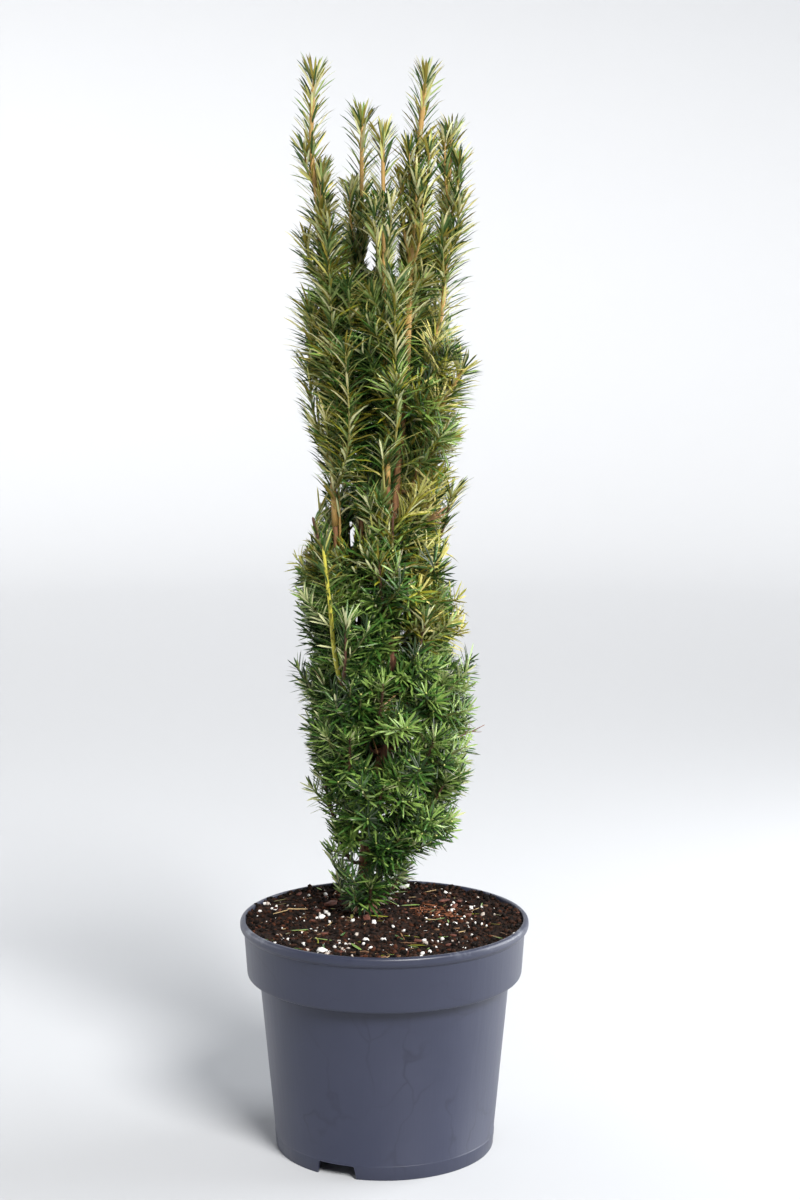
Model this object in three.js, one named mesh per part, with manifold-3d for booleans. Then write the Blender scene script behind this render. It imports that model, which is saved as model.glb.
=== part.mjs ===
// A young english yew in its nursery pot: an upright plant of several leaders, 84 cm above the soil.
// Millimetres, +Z up. The origin is on the pot's axis, at the level the pot stands on.
// +X is to the right and +Y to the back of the plant as it is usually shown.
import * as THREE from 'three';
import { mergeVertices } from 'three/addons/utils/BufferGeometryUtils.js';
import loadManifold from 'manifold-3d';

const wasm = await loadManifold();
wasm.setup();

// ---------------------------------------------------------------- driving dimensions

const GAP = 0.3;                      // air between neighbouring pieces
const MERGE = 1e-4;                   // vertices closer than this are one
const GOLDEN_ANGLE = Math.PI * (3 - Math.sqrt(5));

const POT = {
  height: 229, flats: 48,
  footRadius: 107.4, taper: 0.093,    // outside of the wall at the floor, and its growth per mm of height
  wall: 2.2, floorLevel: 14, floorThickness: 2.5,
  skirtProud: 0.5, skirtStep: 1,      // the foot skirt stands this far out of the wall, over this step
  bandLevel: 174, bandRadius: 135.4, bandTaper: 0.065, bandEdge: [1, 2],
  ledgeThickness: 2.5, ledgeRise: 1,  // the ledge that joins the wall to the wider band above it
  beadHeight: 11, beadRadius: 142, beadRound: 1.8, beadUnderside: [1.5, 4],
};
const NOTCH = { count: 3, bearing: 244.8, bottomWidth: 42, topWidth: 37, height: 13, depth: 20 };

const SOIL = { edgeLevel: 225, crownLevel: 222, shoulder: 126, shoulderRise: 1.5, flat: 94.5 };

// The trunk stands upright on its flat cut, leans to the right as it rises, and forks into two leaders.
const TRUNK = {
  course: [[-19, 40, SOIL.crownLevel + GAP], [-19, 40, SOIL.crownLevel + 20], [-17, 39, 300], [0, 32, 410],
    [12, 26, 540], [11, 25, 640], [20, 25, 738], [25, 25, 861], [30, 25, 945], [40, 25, 1042]],
  fork: 738, baseRadius: 8, forkRadius: 3, taper: 0.8, flare: 5, flareHeight: 14,
  sides: 8, steps: 22, crowding: 1.25,
};

// Each leader: the height where it leaves the trunk, the height where its bare bough passes into foliage,
// its thickness at the trunk, the bare length under its tip that has no side twigs, and its course.
const LEADERS = {
  left: { leaves: 300, foliage: 612, radius: 4.2, bare: 90,
    course: [[-38, 30, 460], [-47, 20, 600], [-53, 20, 756], [-62, 20, 912], [-69, 20, 975],
      [-66, 20, 1042]] },
  middle_left: { leaves: 345, foliage: 625, radius: 3.8, bare: 62,
    course: [[-24, 46, 500], [-23, 41, 650], [-28, 50, 805], [-23, 55, 900], [-21, 55, 1004]] },
  middle: { leaves: 440, foliage: 655, radius: 3.4, bare: 62,
    course: [[7, 6, 520], [3, 8, 690], [1, 3, 800], [-1, 3, 984]] },
  right: { leaves: 722, foliage: 790, radius: 2.4, bare: 70,
    course: [[40, 35, 768], [55, 42, 815], [61, 45, 915], [65, 45, 990]] },
  low_right: { leaves: 652, foliage: 712, radius: 2.3, bare: 30,
    course: [[42, 24, 705], [62, 20, 742], [76, 18, 766]] },
  back_right: { leaves: 385, foliage: 610, radius: 3.4, bare: 40,
    course: [[30, 62, 500], [36, 74, 640], [38, 74, 780], [38, 70, 890]] },
  back_left: { leaves: 360, foliage: 600, radius: 3.2, bare: 40,
    course: [[-30, 68, 500], [-38, 80, 630], [-42, 78, 740], [-40, 74, 835]] },
  front_left: { leaves: 385, foliage: 474, radius: 2.8, bare: 45,
    course: [[-30, 0, 435], [-45, -20, 480], [-52, -25, 545], [-58, -25, 600]] },
};
const LIMB = { sides: 6, steps: 12, crowding: 1.5, tipRadius: 1.9, tipShare: 0.62, collar: 9 };
const MEASURE = { limbSteps: 40, heightSteps: 400, stemStep: 8 };  // how finely axes are measured

// Sprays stand round the limbs in tiers below the leaders' own foliage.
const TIERS = [
  { height: 238, count: 3, bearing: 150, rise: 26 },
  { height: 268, count: 4, bearing: 15, rise: 44 },
  { height: 312, count: 5, bearing: 50, rise: 54 },
  { height: 356, count: 5, bearing: 22, rise: 58 },
  { height: 408, count: 6, bearing: 30, rise: 60 },
  { height: 466, count: 5, bearing: 26, rise: 64 },
  { height: 524, count: 5, bearing: 54, rise: 64 },
  { height: 582, count: 4, bearing: 10, rise: 60 },
];
const SPRAY = { radius: 1.8, reach: 0.74, leastReach: 26, droop: 0.65, bare: 12, hostLevel: 12 };
const MAIN_BARE = 60;

// The crown's outline: height, and how far it reaches to the left and right of the pot's axis.
const CROWN_EDGE = [[232, -52, 20], [266, -60, 34], [300, -62, 64], [350, -76, 82], [407, -90, 100],
  [480, -92, 88], [560, -94, 80], [620, -80, 74], [690, -80, 84], [750, -96, 96], [830, -94, 84],
  [920, -90, 86], [1000, -92, 84], [1070, -92, 66]];
const CROWN_DEPTH = { centre: 34, share: 1.0 };  // its middle from front to back, and depth to width
const SOIL_CLEARANCE = 4;

// Shoots and their needles. A needle here is larger than life, as it stands for several. Where its room
// is narrow it closes up against the shoot or stays shorter: these are the spreads and shares of length.
const NEEDLE = { length: 30, tuft: 20, tuftStart: 4, scatter: 12, left: 0.1,
  fits: [[52, 1], [38, 1], [52, 0.75], [28, 0.85], [40, 0.6], [20, 0.6], [30, 0.4]],
  testedAt: [0.25, 0.6, 1], rootMargin: 2, tipMargin: 0.5, apart: 7.5 };
const LEADER_GROWTH = { core: 5, peak: 0.45, sides: 4, needleStep: 13, firstNeedle: 0.04,
  twigStep: 42, twigLength: 56 };
const SPRAY_GROWTH = { core: 7, peak: 1, sides: 4, needleStep: 13, firstNeedle: 0.15,
  twigStep: 24, twigLength: 56 };
const CORE = { fullness: 0.6, tip: 0.9, least: 1, shrink: 0.9, fewestBands: 3 };
const TWIG = { core: 4.5, peak: 1, sides: 3, needleStep: 11, firstNeedle: 0.3, radius: 2.2,
  angle: 46, wander: 0.5, turns: [0, 1, -1, 2, -2, 3].map((sixth) => (sixth * Math.PI) / 3),
  bendAt: 0.55, onward: 0.3, upward: 0.25, lowest: 0.08, reachFrom: 0.8, reachSpread: 0.4,
  tests: 10, testedFrom: 0.15, margin: 2, enough: 0.7, shortest: 18 };
const PATH_STEPS = 6;                 // stretches in a shoot's path as its neighbours' needles measure it
const SLIVER = 0.03;                  // fused masses lose facets thinner than this

const COLOURS = { pot: 0x3f444e, soil: 0x2b1c15, bark: 0x6b4a35, leaf: 0x3f5a24, youngLeaf: 0x8a9140 };

// ---------------------------------------------------------------- solids from three.js shapes

/** A solid for joining and cutting, from a closed three.js geometry. */
function toSolid(geometry) {
  const bare = geometry.clone();
  bare.deleteAttribute('normal');
  bare.deleteAttribute('uv');
  const merged = mergeVertices(bare, MERGE);
  const corners = merged.index.array;
  const triangles = [];
  for (let i = 0; i < corners.length; i += 3) {
    const [a, b, c] = corners.subarray(i, i + 3);
    if (a !== b && b !== c && c !== a) triangles.push(a, b, c);
  }
  return new wasm.Manifold(new wasm.Mesh({
    numProp: 3,
    vertProperties: new Float32Array(merged.attributes.position.array),
    triVerts: new Uint32Array(triangles),
  }));
}

/** The solid's surface as a three.js geometry. */
function toGeometry(solid) {
  const { vertProperties, triVerts } = solid.getMesh();
  const geometry = new THREE.BufferGeometry();
  geometry.setAttribute('position', new THREE.BufferAttribute(vertProperties, 3));
  geometry.setIndex(new THREE.BufferAttribute(triVerts, 1));
  geometry.computeVertexNormals();
  return geometry;
}

/** A body turned round the pot's axis, from an outline of [radius, height] that starts and ends on it. */
function turned(outline) {
  const profile = outline.map(([radius, height]) => new THREE.Vector2(radius, height));
  return toSolid(new THREE.LatheGeometry(profile, POT.flats).rotateX(Math.PI / 2));
}

const point = ([x, y, z]) => new THREE.Vector3(x, y, z);
const bearingVector = (degrees) => {
  const angle = THREE.MathUtils.degToRad(degrees);
  return new THREE.Vector3(Math.cos(angle), Math.sin(angle), 0);
};

/** The stretch of a curve between two shares of its length, as a curve. */
class Stretch extends THREE.Curve {
  constructor(whole, from, to) {
    super();
    Object.assign(this, { whole, from, to });
  }

  getPoint(share) {
    return this.whole.getPointAt(THREE.MathUtils.lerp(this.from, this.to, share));
  }
}

/** Centres and cross directions at the given shares of a curve's length, carried on without twist. */
function framesAlong(curve, stations) {
  let across = null;
  return stations.map((share) => {
    const centre = curve.getPointAt(share);
    const tangent = curve.getTangentAt(share);
    if (!across) across = new THREE.Vector3(0.3, 1, 0.1);
    across = across.clone().addScaledVector(tangent, -across.dot(tangent)).normalize();
    return { centre, tangent, across, aside: tangent.clone().cross(across) };
  });
}

const evenStations = (steps) => Array.from({ length: steps + 1 }, (_, i) => i / steps);

/**
 * A closed tube along a curve. radiusOf gives its radius for a share of the length and a direction.
 * Each ring may be turned half a facet past the last, so that the facets stand in staggered triangles.
 */
function tube(curve, stations, sides, radiusOf, staggered = false) {
  const frames = framesAlong(curve, stations);
  const geometry = new THREE.CylinderGeometry(1, 1, 1, sides, stations.length - 1);
  const position = geometry.attributes.position;
  const corner = new THREE.Vector3();
  for (let i = 0; i < position.count; i += 1) {
    corner.fromBufferAttribute(position, i);
    const ring = Math.round((corner.y + 0.5) * (stations.length - 1));
    if (staggered) corner.applyAxisAngle(new THREE.Vector3(0, 1, 0), (-ring * Math.PI) / sides);
    const { centre, across, aside } = frames[ring];
    const outward = aside.clone().multiplyScalar(corner.x).addScaledVector(across, corner.z);
    const radius = outward.lengthSq() > 0.5 ? radiusOf(stations[ring], centre, outward) : 0;
    position.setXYZ(i, ...outward.multiplyScalar(radius).add(centre));
  }
  return geometry;
}

// ---------------------------------------------------------------- pot and soil

const wallRadius = (height) => POT.footRadius + POT.taper * height;
const bandRadius = (height) => POT.bandRadius + POT.bandTaper * (height - POT.bandLevel);

/** Blow-moulded pot: foot skirt, tapered wall, stacking band, rolled bead and a raised floor. */
function makePot() {
  const { height, wall, floorLevel, skirtProud, bandLevel, bandEdge, beadRadius, beadRound } = POT;
  const { ledgeThickness, ledgeRise, beadUnderside } = POT;
  const beadLevel = height - POT.beadHeight;
  const floorTop = floorLevel + POT.floorThickness;
  const shell = turned([
    [0, floorLevel],
    [wallRadius(floorLevel) - wall, floorLevel],
    [wallRadius(0) - wall, 0],
    [wallRadius(0) + skirtProud, 0],
    [wallRadius(floorLevel) + skirtProud, floorLevel],
    [wallRadius(floorLevel), floorLevel + POT.skirtStep],
    [wallRadius(bandLevel), bandLevel],
    [bandRadius(bandLevel) - bandEdge[0], bandLevel],
    [bandRadius(bandLevel), bandLevel + bandEdge[1]],
    [bandRadius(beadLevel), beadLevel],
    [beadRadius - beadRound, beadLevel + beadUnderside[0]],
    [beadRadius, beadLevel + beadUnderside[1]],
    [beadRadius, height - beadRound],
    [beadRadius - beadRound, height],
    [bandRadius(height) - wall, height],
    [bandRadius(bandLevel) - wall, bandLevel + ledgeThickness + ledgeRise],
    [wallRadius(bandLevel) - wall, bandLevel + ledgeThickness],
    [wallRadius(floorTop) - wall, floorTop],
    [0, floorTop],
  ]);
  return makeNotches().reduce((pot, notch) => pot.subtract(notch), shell);
}

/** Drainage notches: openings cut through the foot skirt, narrower at the top. */
function makeNotches() {
  const { count, bearing, bottomWidth, topWidth, height, depth } = NOTCH;
  const below = -1;
  const outline = new THREE.Shape([
    new THREE.Vector2(-bottomWidth / 2, below), new THREE.Vector2(bottomWidth / 2, below),
    new THREE.Vector2(topWidth / 2, height), new THREE.Vector2(-topWidth / 2, height)]);
  return Array.from({ length: count }, (_, i) => {
    const cutter = new THREE.ExtrudeGeometry(outline, { depth, bevelEnabled: false });
    cutter.rotateX(Math.PI / 2);
    cutter.rotateZ(THREE.MathUtils.degToRad(90 + bearing + (360 / count) * i));
    const out = bearingVector(bearing + (360 / count) * i);
    cutter.translate(...out.multiplyScalar(POT.footRadius - depth / 2));
    return toSolid(cutter);
  });
}

/** The root ball fills the pot, clear of its walls, and is heaped a little against the rim. */
function makeSoil() {
  const inside = POT.wall + GAP;
  const { bandLevel } = POT;
  const bottom = POT.floorLevel + POT.floorThickness + GAP;
  const ledgeTop = bandLevel + POT.ledgeThickness + GAP;
  return turned([
    [0, bottom],
    [wallRadius(bottom) - inside, bottom],
    [wallRadius(bandLevel) - inside, ledgeTop],
    [bandRadius(bandLevel) - inside, ledgeTop + POT.ledgeRise],
    [bandRadius(SOIL.edgeLevel) - inside, SOIL.edgeLevel],
    [SOIL.shoulder, SOIL.crownLevel + SOIL.shoulderRise],
    [SOIL.flat, SOIL.crownLevel],
    [0, SOIL.crownLevel],
  ]);
}

// ---------------------------------------------------------------- limbs

/** A limb: its axis, its radius along it, and the same axis as short straight stretches for measuring. */
function makeLimb(name, curve, radiusOf, { steps, crowding, sides }) {
  const samples = evenStations(MEASURE.limbSteps).map((share) => (
    { centre: curve.getPointAt(share), tangent: curve.getTangentAt(share), radius: radiusOf(share) }));
  const path = samples.map(({ centre }) => centre);
  const stations = evenStations(steps).map((share) => share ** crowding);
  return { name, curve, samples, path, radiusOf, solid: toSolid(tube(curve, stations, sides, radiusOf)) };
}

/** The share of a curve's length at which it first reaches a height. */
function shareAtHeight(curve, height) {
  return evenStations(MEASURE.heightSteps).find((share) => curve.getPointAt(share).z >= height) ?? 1;
}

/** The level direction from a point on a limb towards a place, square to the limb. */
const squareOut = ({ centre, tangent }, towards) => {
  const way = towards.clone().sub(centre).setZ(0);
  return way.addScaledVector(tangent, -way.dot(tangent)).normalize();
};

const nearest = (samples, height) => samples.reduce((best, sample) => (
  Math.abs(sample.centre.z - height) < Math.abs(best.centre.z - height) ? sample : best));

function makeTrunk() {
  const whole = new THREE.CatmullRomCurve3(TRUNK.course.map(point));
  const fork = shareAtHeight(whole, TRUNK.fork);
  const axis = new Stretch(whole, 0, fork);
  const length = axis.getLength();
  const radiusOf = (share) => THREE.MathUtils.lerp(TRUNK.baseRadius, TRUNK.forkRadius, share ** TRUNK.taper)
    + TRUNK.flare * Math.exp((-share * length) / TRUNK.flareHeight);
  return { ...makeLimb('trunk', axis, radiusOf, TRUNK), whole, fork };
}

/** A bough leaves the trunk square to it, bends up, and ends where it enters its leader's foliage. */
function makeBough(name, { leaves, foliage, radius, course }, trunk) {
  const host = nearest(trunk.samples, leaves);
  const out = squareOut(host, point(course[0]));
  const start = host.centre.clone().addScaledVector(out, host.radius + GAP);
  const collar = start.clone().addScaledVector(out, LIMB.collar);
  const whole = new THREE.CatmullRomCurve3([start, collar, ...course.map(point)]);
  const fork = shareAtHeight(whole, foliage);
  const tipRadius = Math.max(LIMB.tipRadius, radius * LIMB.tipShare);
  const radiusOf = (share) => THREE.MathUtils.lerp(radius, tipRadius, share);
  return { ...makeLimb(`bough_${name}`, new Stretch(whole, 0, fork), radiusOf, LIMB), whole, fork };
}

const trunk = makeTrunk();
const boughs = Object.entries(LEADERS).map(([name, leader]) => makeBough(name, leader, trunk));
const limbs = [trunk, ...boughs];

// ---------------------------------------------------------------- stems of the foliage masses

/** The crown's reach at a height: its middle, and half its width and depth. */
function crownAt(height) {
  const upper = CROWN_EDGE.findIndex(([level]) => level >= height);
  const above = CROWN_EDGE[upper < 0 ? CROWN_EDGE.length - 1 : Math.max(upper, 1)];
  const below = CROWN_EDGE[upper < 0 ? CROWN_EDGE.length - 2 : Math.max(upper, 1) - 1];
  const share = THREE.MathUtils.clamp((height - below[0]) / (above[0] - below[0]), 0, 1);
  const [left, right] = [1, 2].map((side) => THREE.MathUtils.lerp(below[side], above[side], share));
  const halfWidth = (right - left) / 2;
  return { middle: new THREE.Vector3((left + right) / 2, CROWN_DEPTH.centre, height),
    halfWidth, halfDepth: halfWidth * CROWN_DEPTH.share };
}

/** A leader's foliage grows on along the limb's own line, just past the end of the wood. */
function leaderStem(limb, name, bare) {
  const length = limb.whole.getLength();
  const from = limb.fork + GAP / length;
  return { name, curve: new Stretch(limb.whole, from, 1), host: limb, growth: LEADER_GROWTH, bare,
    radius: limb.radiusOf(1) };
}

/** A spray leaves the limb that stands furthest towards its bearing, and rises to the crown's edge. */
function sprayStem(name, { height, rise }, bearing) {
  const out = bearingVector(bearing);
  const hosts = limbs.map((limb) => ({ limb, at: nearest(limb.samples, height) }))
    .filter(({ at }) => Math.abs(at.centre.z - height) < SPRAY.hostLevel)
    .sort((a, b) => b.at.centre.dot(out) - a.at.centre.dot(out));
  const { limb, at } = hosts[0];
  const edge = crownAt(height + rise);
  const tip = edge.middle.clone();
  tip.x += out.x * edge.halfWidth * SPRAY.reach;
  tip.y += out.y * edge.halfDepth * SPRAY.reach;
  tip.addScaledVector(out, Math.max(0, SPRAY.leastReach - tip.clone().sub(at.centre).dot(out)));
  const square = squareOut(at, tip);
  const start = at.centre.clone().addScaledVector(square, at.radius + GAP);
  const bend = start.clone().addScaledVector(square, tip.clone().sub(start).setZ(0).length() * SPRAY.droop);
  return { name, curve: new THREE.QuadraticBezierCurve3(start, bend, tip), host: limb, growth: SPRAY_GROWTH,
    bare: SPRAY.bare, radius: SPRAY.radius };
}

const stems = [
  leaderStem(trunk, 'leader_main', MAIN_BARE),
  ...boughs.map((bough) => {
    const name = bough.name.replace('bough_', '');
    return leaderStem(bough, `leader_${name}`, LEADERS[name].bare);
  }),
  ...TIERS.flatMap((tier, level) => Array.from({ length: tier.count }, (_, i) => (
    sprayStem(`spray_${level + 1}_${i + 1}`, tier, tier.bearing + (360 / tier.count) * i)))),
];
stems.forEach((stem, index) => {
  const steps = Math.ceil(stem.curve.getLength() / MEASURE.stemStep);
  stem.seed = index + 1;
  stem.samples = evenStations(steps).map((share) => stem.curve.getPointAt(share));
});

// ---------------------------------------------------------------- room that each mass may grow in

const along = new THREE.Line3();
const foot = new THREE.Vector3();

function distanceToPath(place, path) {
  let least = Infinity;
  for (let i = 1; i < path.length; i += 1) {
    along.set(path[i - 1], path[i]).closestPointToPoint(place, true, foot);
    least = Math.min(least, foot.distanceToSquared(place));
  }
  return Math.sqrt(least);
}

/** True where a place is clear of the wood by the margin. */
function clearOfLimbs(place, margin, except) {
  return limbs.every((limb) => limb === except || limb.samples.every(({ centre, radius }) => (
    centre.distanceTo(place) > radius + margin || distanceToPath(place, limb.path) > radius + margin)));
}

/** True where a place is nearer to its own mass's stem than to any other, inside the crown, and clear. */
function free(place, stem, margin) {
  if (place.z < SOIL.crownLevel + SOIL_CLEARANCE) return false;
  const { middle, halfWidth, halfDepth } = crownAt(place.z);
  if (((place.x - middle.x) / halfWidth) ** 2 + ((place.y - middle.y) / halfDepth) ** 2 > 1) return false;
  const own = distanceToPath(place, stem.samples) + margin * 2;
  if (stems.some((other) => other !== stem && distanceToPath(place, other.samples) < own)) return false;
  return clearOfLimbs(place, margin, stem.growth === LEADER_GROWTH ? stem.host : null);
}

// ---------------------------------------------------------------- twigs and needles

/** A repeatable stream of numbers from 0 to 1: the same seed always grows the same twig. */
function stream(seed) {
  let state = seed >>> 0;
  return () => {
    state = (state + 0x6d2b79f5) >>> 0;
    let mixed = Math.imul(state ^ (state >>> 15), 1 | state);
    mixed = (mixed + Math.imul(mixed ^ (mixed >>> 7), 61 | mixed)) ^ mixed;
    return ((mixed ^ (mixed >>> 14)) >>> 0) / 4294967296;
  };
}

/** The core along a shoot: it swells from the shoot's foot and closes at the tip, as far as it has room. */
function shootCore({ curve, growth, radius }, stem, stations) {
  const radiusOf = (share, centre, outward) => {
    const swell = Math.sin(Math.PI * share ** growth.peak) ** CORE.fullness || 0;
    let wanted = share >= 1 ? CORE.tip : THREE.MathUtils.lerp(radius, growth.core, swell);
    const hasRoom = () => free(outward.clone().multiplyScalar(wanted).add(centre), stem, GAP * 2);
    while (wanted > CORE.least && !hasRoom()) wanted *= CORE.shrink;
    return wanted;
  };
  return tube(curve, stations, growth.sides, radiusOf, true);
}

/** The tip of a needle that stands out of a facet, or null where it has no room at any spread. */
function needleTip(root, tangent, out, tuft, random, stem, rivals) {
  const scatter = (random() - 0.5) * NEEDLE.scatter;
  if (random() < NEEDLE.left) return null;
  for (const [spread, size] of NEEDLE.fits) {
    const lean = THREE.MathUtils.degToRad(THREE.MathUtils.lerp(spread, NEEDLE.tuft, tuft) + scatter);
    const needle = tangent.clone().multiplyScalar(Math.cos(lean)).addScaledVector(out, Math.sin(lean))
      .multiplyScalar(NEEDLE.length * size);
    const hasRoom = NEEDLE.testedAt.every((share) => {
      const place = root.clone().addScaledVector(needle, share);
      const margin = NEEDLE.tipMargin + (1 - share) * NEEDLE.rootMargin;
      return free(place, stem, margin)
        && rivals.every((rival) => distanceToPath(place, rival) > NEEDLE.apart);
    });
    if (hasRoom) return root.clone().add(needle);
  }
  return null;
}

/** A shoot with its needles: the facets of its core that point up the shoot are drawn out to needle tips. */
function needledShoot(shoot, stem, rivals) {
  const { curve, growth, firstNeedle, random } = shoot;
  const bands = Math.max(CORE.fewestBands, Math.round(curve.getLength() / growth.needleStep));
  const stations = evenStations(bands);
  const core = shootCore(shoot, stem, stations);
  const frames = framesAlong(curve, stations);
  const { position } = core.attributes;
  const places = Array.from(position.array);
  const triangles = [];
  const index = core.index.array;
  const sideTriangles = 2 * growth.sides * bands;
  for (let i = 0; i < index.length / 3; i += 1) {
    const facet = Array.from(index.subarray(3 * i, 3 * i + 3));
    const pointsUp = i < sideTriangles && i % 2 === 1;
    const band = bands - 1 - (Math.floor(i / 2) % bands);
    const [a, b, c] = facet.map((corner) => new THREE.Vector3().fromBufferAttribute(position, corner));
    let tip = null;
    if (pointsUp && (band + 0.5) / bands > firstNeedle) {
      const root = a.add(b).add(c).divideScalar(3);
      const { centre, tangent } = frames[band];
      const out = root.clone().sub(centre);
      out.addScaledVector(tangent, -out.dot(tangent)).normalize();
      const tuft = ((band + 1) / bands) ** NEEDLE.tuftStart;
      tip = needleTip(root, tangent, out, tuft, random, stem, rivals);
    }
    if (tip) {
      const apex = places.length / 3;
      places.push(...tip);
      facet.forEach((corner, j) => triangles.push(corner, facet[(j + 1) % 3], apex));
    } else {
      triangles.push(...facet);
    }
  }
  const geometry = new THREE.BufferGeometry();
  geometry.setAttribute('position', new THREE.Float32BufferAttribute(places, 3));
  geometry.setIndex(triangles);
  return toSolid(geometry);
}

/** A side twig that leaves a stem's axis at an angle and bends up, cut short where its room ends. */
function makeTwig({ centre, tangent, across, aside }, angle, reach, stem) {
  const out = across.clone().multiplyScalar(Math.cos(angle)).addScaledVector(aside, Math.sin(angle));
  const lean = THREE.MathUtils.degToRad(TWIG.angle);
  const heading = tangent.clone().multiplyScalar(Math.cos(lean)).addScaledVector(out, Math.sin(lean));
  const bend = centre.clone().addScaledVector(heading, reach * TWIG.bendAt);
  const tip = bend.clone().addScaledVector(heading, reach * TWIG.onward)
    .addScaledVector(tangent, reach * TWIG.upward);
  const whole = new THREE.QuadraticBezierCurve3(centre, bend, tip);
  const shares = evenStations(TWIG.tests).filter((share) => share > TWIG.testedFrom);
  const blocked = shares.findIndex((share) => !free(whole.getPointAt(share), stem, TWIG.margin));
  const open = blocked < 0 ? 1 : (shares[blocked - 1] ?? 0);
  return { curve: new Stretch(whole, 0, open), length: open * whole.getLength() };
}

/** Side twigs of a stem, each a golden angle round from the last, or turned on to where there is room. */
function sideTwigs(stem) {
  const { curve, growth, bare, seed } = stem;
  const length = curve.getLength();
  const count = Math.max(0, Math.floor((length - bare) / growth.twigStep));
  const stations = evenStations(count + 1).slice(1, -1)
    .map((share) => THREE.MathUtils.lerp(TWIG.lowest, 1 - bare / length, share));
  return framesAlong(curve, [0, ...stations]).slice(1).flatMap((frame, i) => {
    const random = stream(seed * 1000 + i);
    const angle = seed + i * GOLDEN_ANGLE + (random() - 0.5) * TWIG.wander;
    const reach = growth.twigLength * (TWIG.reachFrom + TWIG.reachSpread * random());
    const choices = TWIG.turns.map((turn) => makeTwig(frame, angle + turn, reach, stem));
    const twig = choices.find((choice) => choice.length > TWIG.enough * reach)
      ?? choices.reduce((best, choice) => (choice.length > best.length ? choice : best));
    if (twig.length < TWIG.shortest) return [];
    return [{ curve: twig.curve, growth: TWIG, radius: TWIG.radius, firstNeedle: TWIG.firstNeedle, random }];
  });
}

/** The largest connected body of a solid: loose scraps and sealed hollows are left behind. */
function soundBody(solid) {
  const parts = solid.decompose();
  return parts.reduce((best, part) => (part.volume() > best.volume() ? part : best)).simplify(SLIVER);
}

/** One mass of foliage: stem, side twigs and their needles, fused. */
function makeMass(stem) {
  const main = { ...stem, firstNeedle: stem.growth.firstNeedle, random: stream(stem.seed) };
  const shoots = [main, ...sideTwigs(stem)];
  const outerPaths = shoots.map(({ curve }, i) => (
    evenStations(PATH_STEPS).slice(i ? 2 : 0).map((share) => curve.getPointAt(share))));
  return soundBody(wasm.Manifold.union(shoots.map((shoot, i) => (
    needledShoot(shoot, stem, outerPaths.filter((_, other) => other !== i))))));
}

// ---------------------------------------------------------------- the plant

const finish = (color, roughness) => new THREE.MeshStandardMaterial({ color, roughness, metalness: 0 });
const potPlastic = finish(COLOURS.pot, 0.5);
const pottingSoil = finish(COLOURS.soil, 0.95);
const bark = finish(COLOURS.bark, 0.85);
const leaf = finish(COLOURS.leaf, 0.5);
const youngLeaf = finish(COLOURS.youngLeaf, 0.5);

const yew = new THREE.Group();

function add(name, solid, material) {
  const mesh = new THREE.Mesh(toGeometry(solid), material);
  mesh.name = name;
  yew.add(mesh);
}

add('pot', makePot(), potPlastic);
add('soil', makeSoil(), pottingSoil);
limbs.forEach(({ name, solid }) => add(name, solid, bark));
stems.forEach((stem) => add(stem.name, makeMass(stem), stem.growth === LEADER_GROWTH ? youngLeaf : leaf));

export default yew;
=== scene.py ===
# A young english yew in its nursery pot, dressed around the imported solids.
# Metres, +Z up and +Y to the back. Each section makes one piece, or one kind of piece, from the floor up.
import math

import bmesh
import bpy
import numpy as np
from mathutils import Matrix, Vector, noise


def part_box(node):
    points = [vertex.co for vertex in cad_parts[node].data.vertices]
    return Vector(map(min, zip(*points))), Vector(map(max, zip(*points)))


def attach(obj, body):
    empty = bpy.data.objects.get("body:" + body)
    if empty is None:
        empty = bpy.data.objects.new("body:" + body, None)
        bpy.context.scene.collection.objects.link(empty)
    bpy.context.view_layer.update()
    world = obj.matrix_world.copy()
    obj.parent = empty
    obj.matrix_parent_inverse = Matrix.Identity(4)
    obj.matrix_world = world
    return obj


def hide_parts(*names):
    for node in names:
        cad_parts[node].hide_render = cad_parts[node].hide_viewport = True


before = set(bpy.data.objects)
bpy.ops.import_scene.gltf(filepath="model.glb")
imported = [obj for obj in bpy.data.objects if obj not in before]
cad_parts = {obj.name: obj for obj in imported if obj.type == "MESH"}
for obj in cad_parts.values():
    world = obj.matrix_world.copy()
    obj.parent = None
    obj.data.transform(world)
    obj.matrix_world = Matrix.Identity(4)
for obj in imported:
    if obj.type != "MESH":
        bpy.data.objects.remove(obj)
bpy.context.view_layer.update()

# ---------------------------------------------------------------- camera
# It stands a little over two metres in front of the pot, at chest height, and looks slightly down.

CAMERA_PLACE = (0.0153, -2.22, 0.86)
CAMERA_PITCH = 8.09
CAMERA_LENS = 69.57
SENSOR = 36

lens = bpy.data.cameras.new("camera")
lens.sensor_width = SENSOR
lens.lens = CAMERA_LENS
camera = bpy.data.objects.new("camera", lens)
camera.location = CAMERA_PLACE
camera.rotation_euler = (math.radians(90 - CAMERA_PITCH), 0, 0)
bpy.context.scene.collection.objects.link(camera)
bpy.context.scene.camera = camera

# ---------------------------------------------------------------- studio
# A pale seamless floor that curves up into a wall all round, lit by broad soft lamps and a pale sky.

STUDIO_FLOOR = 4.0
STUDIO_REACH = 6.0
STUDIO_HEIGHT = 5.0
STUDIO_STEPS = 64
STUDIO_BEND_STEPS = 12
STUDIO_COLOUR = (0.455, 0.465, 0.485, 1)
SKY_COLOUR = (0.93, 0.96, 1.0, 1)
SKY_STRENGTH = 0.22
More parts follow.
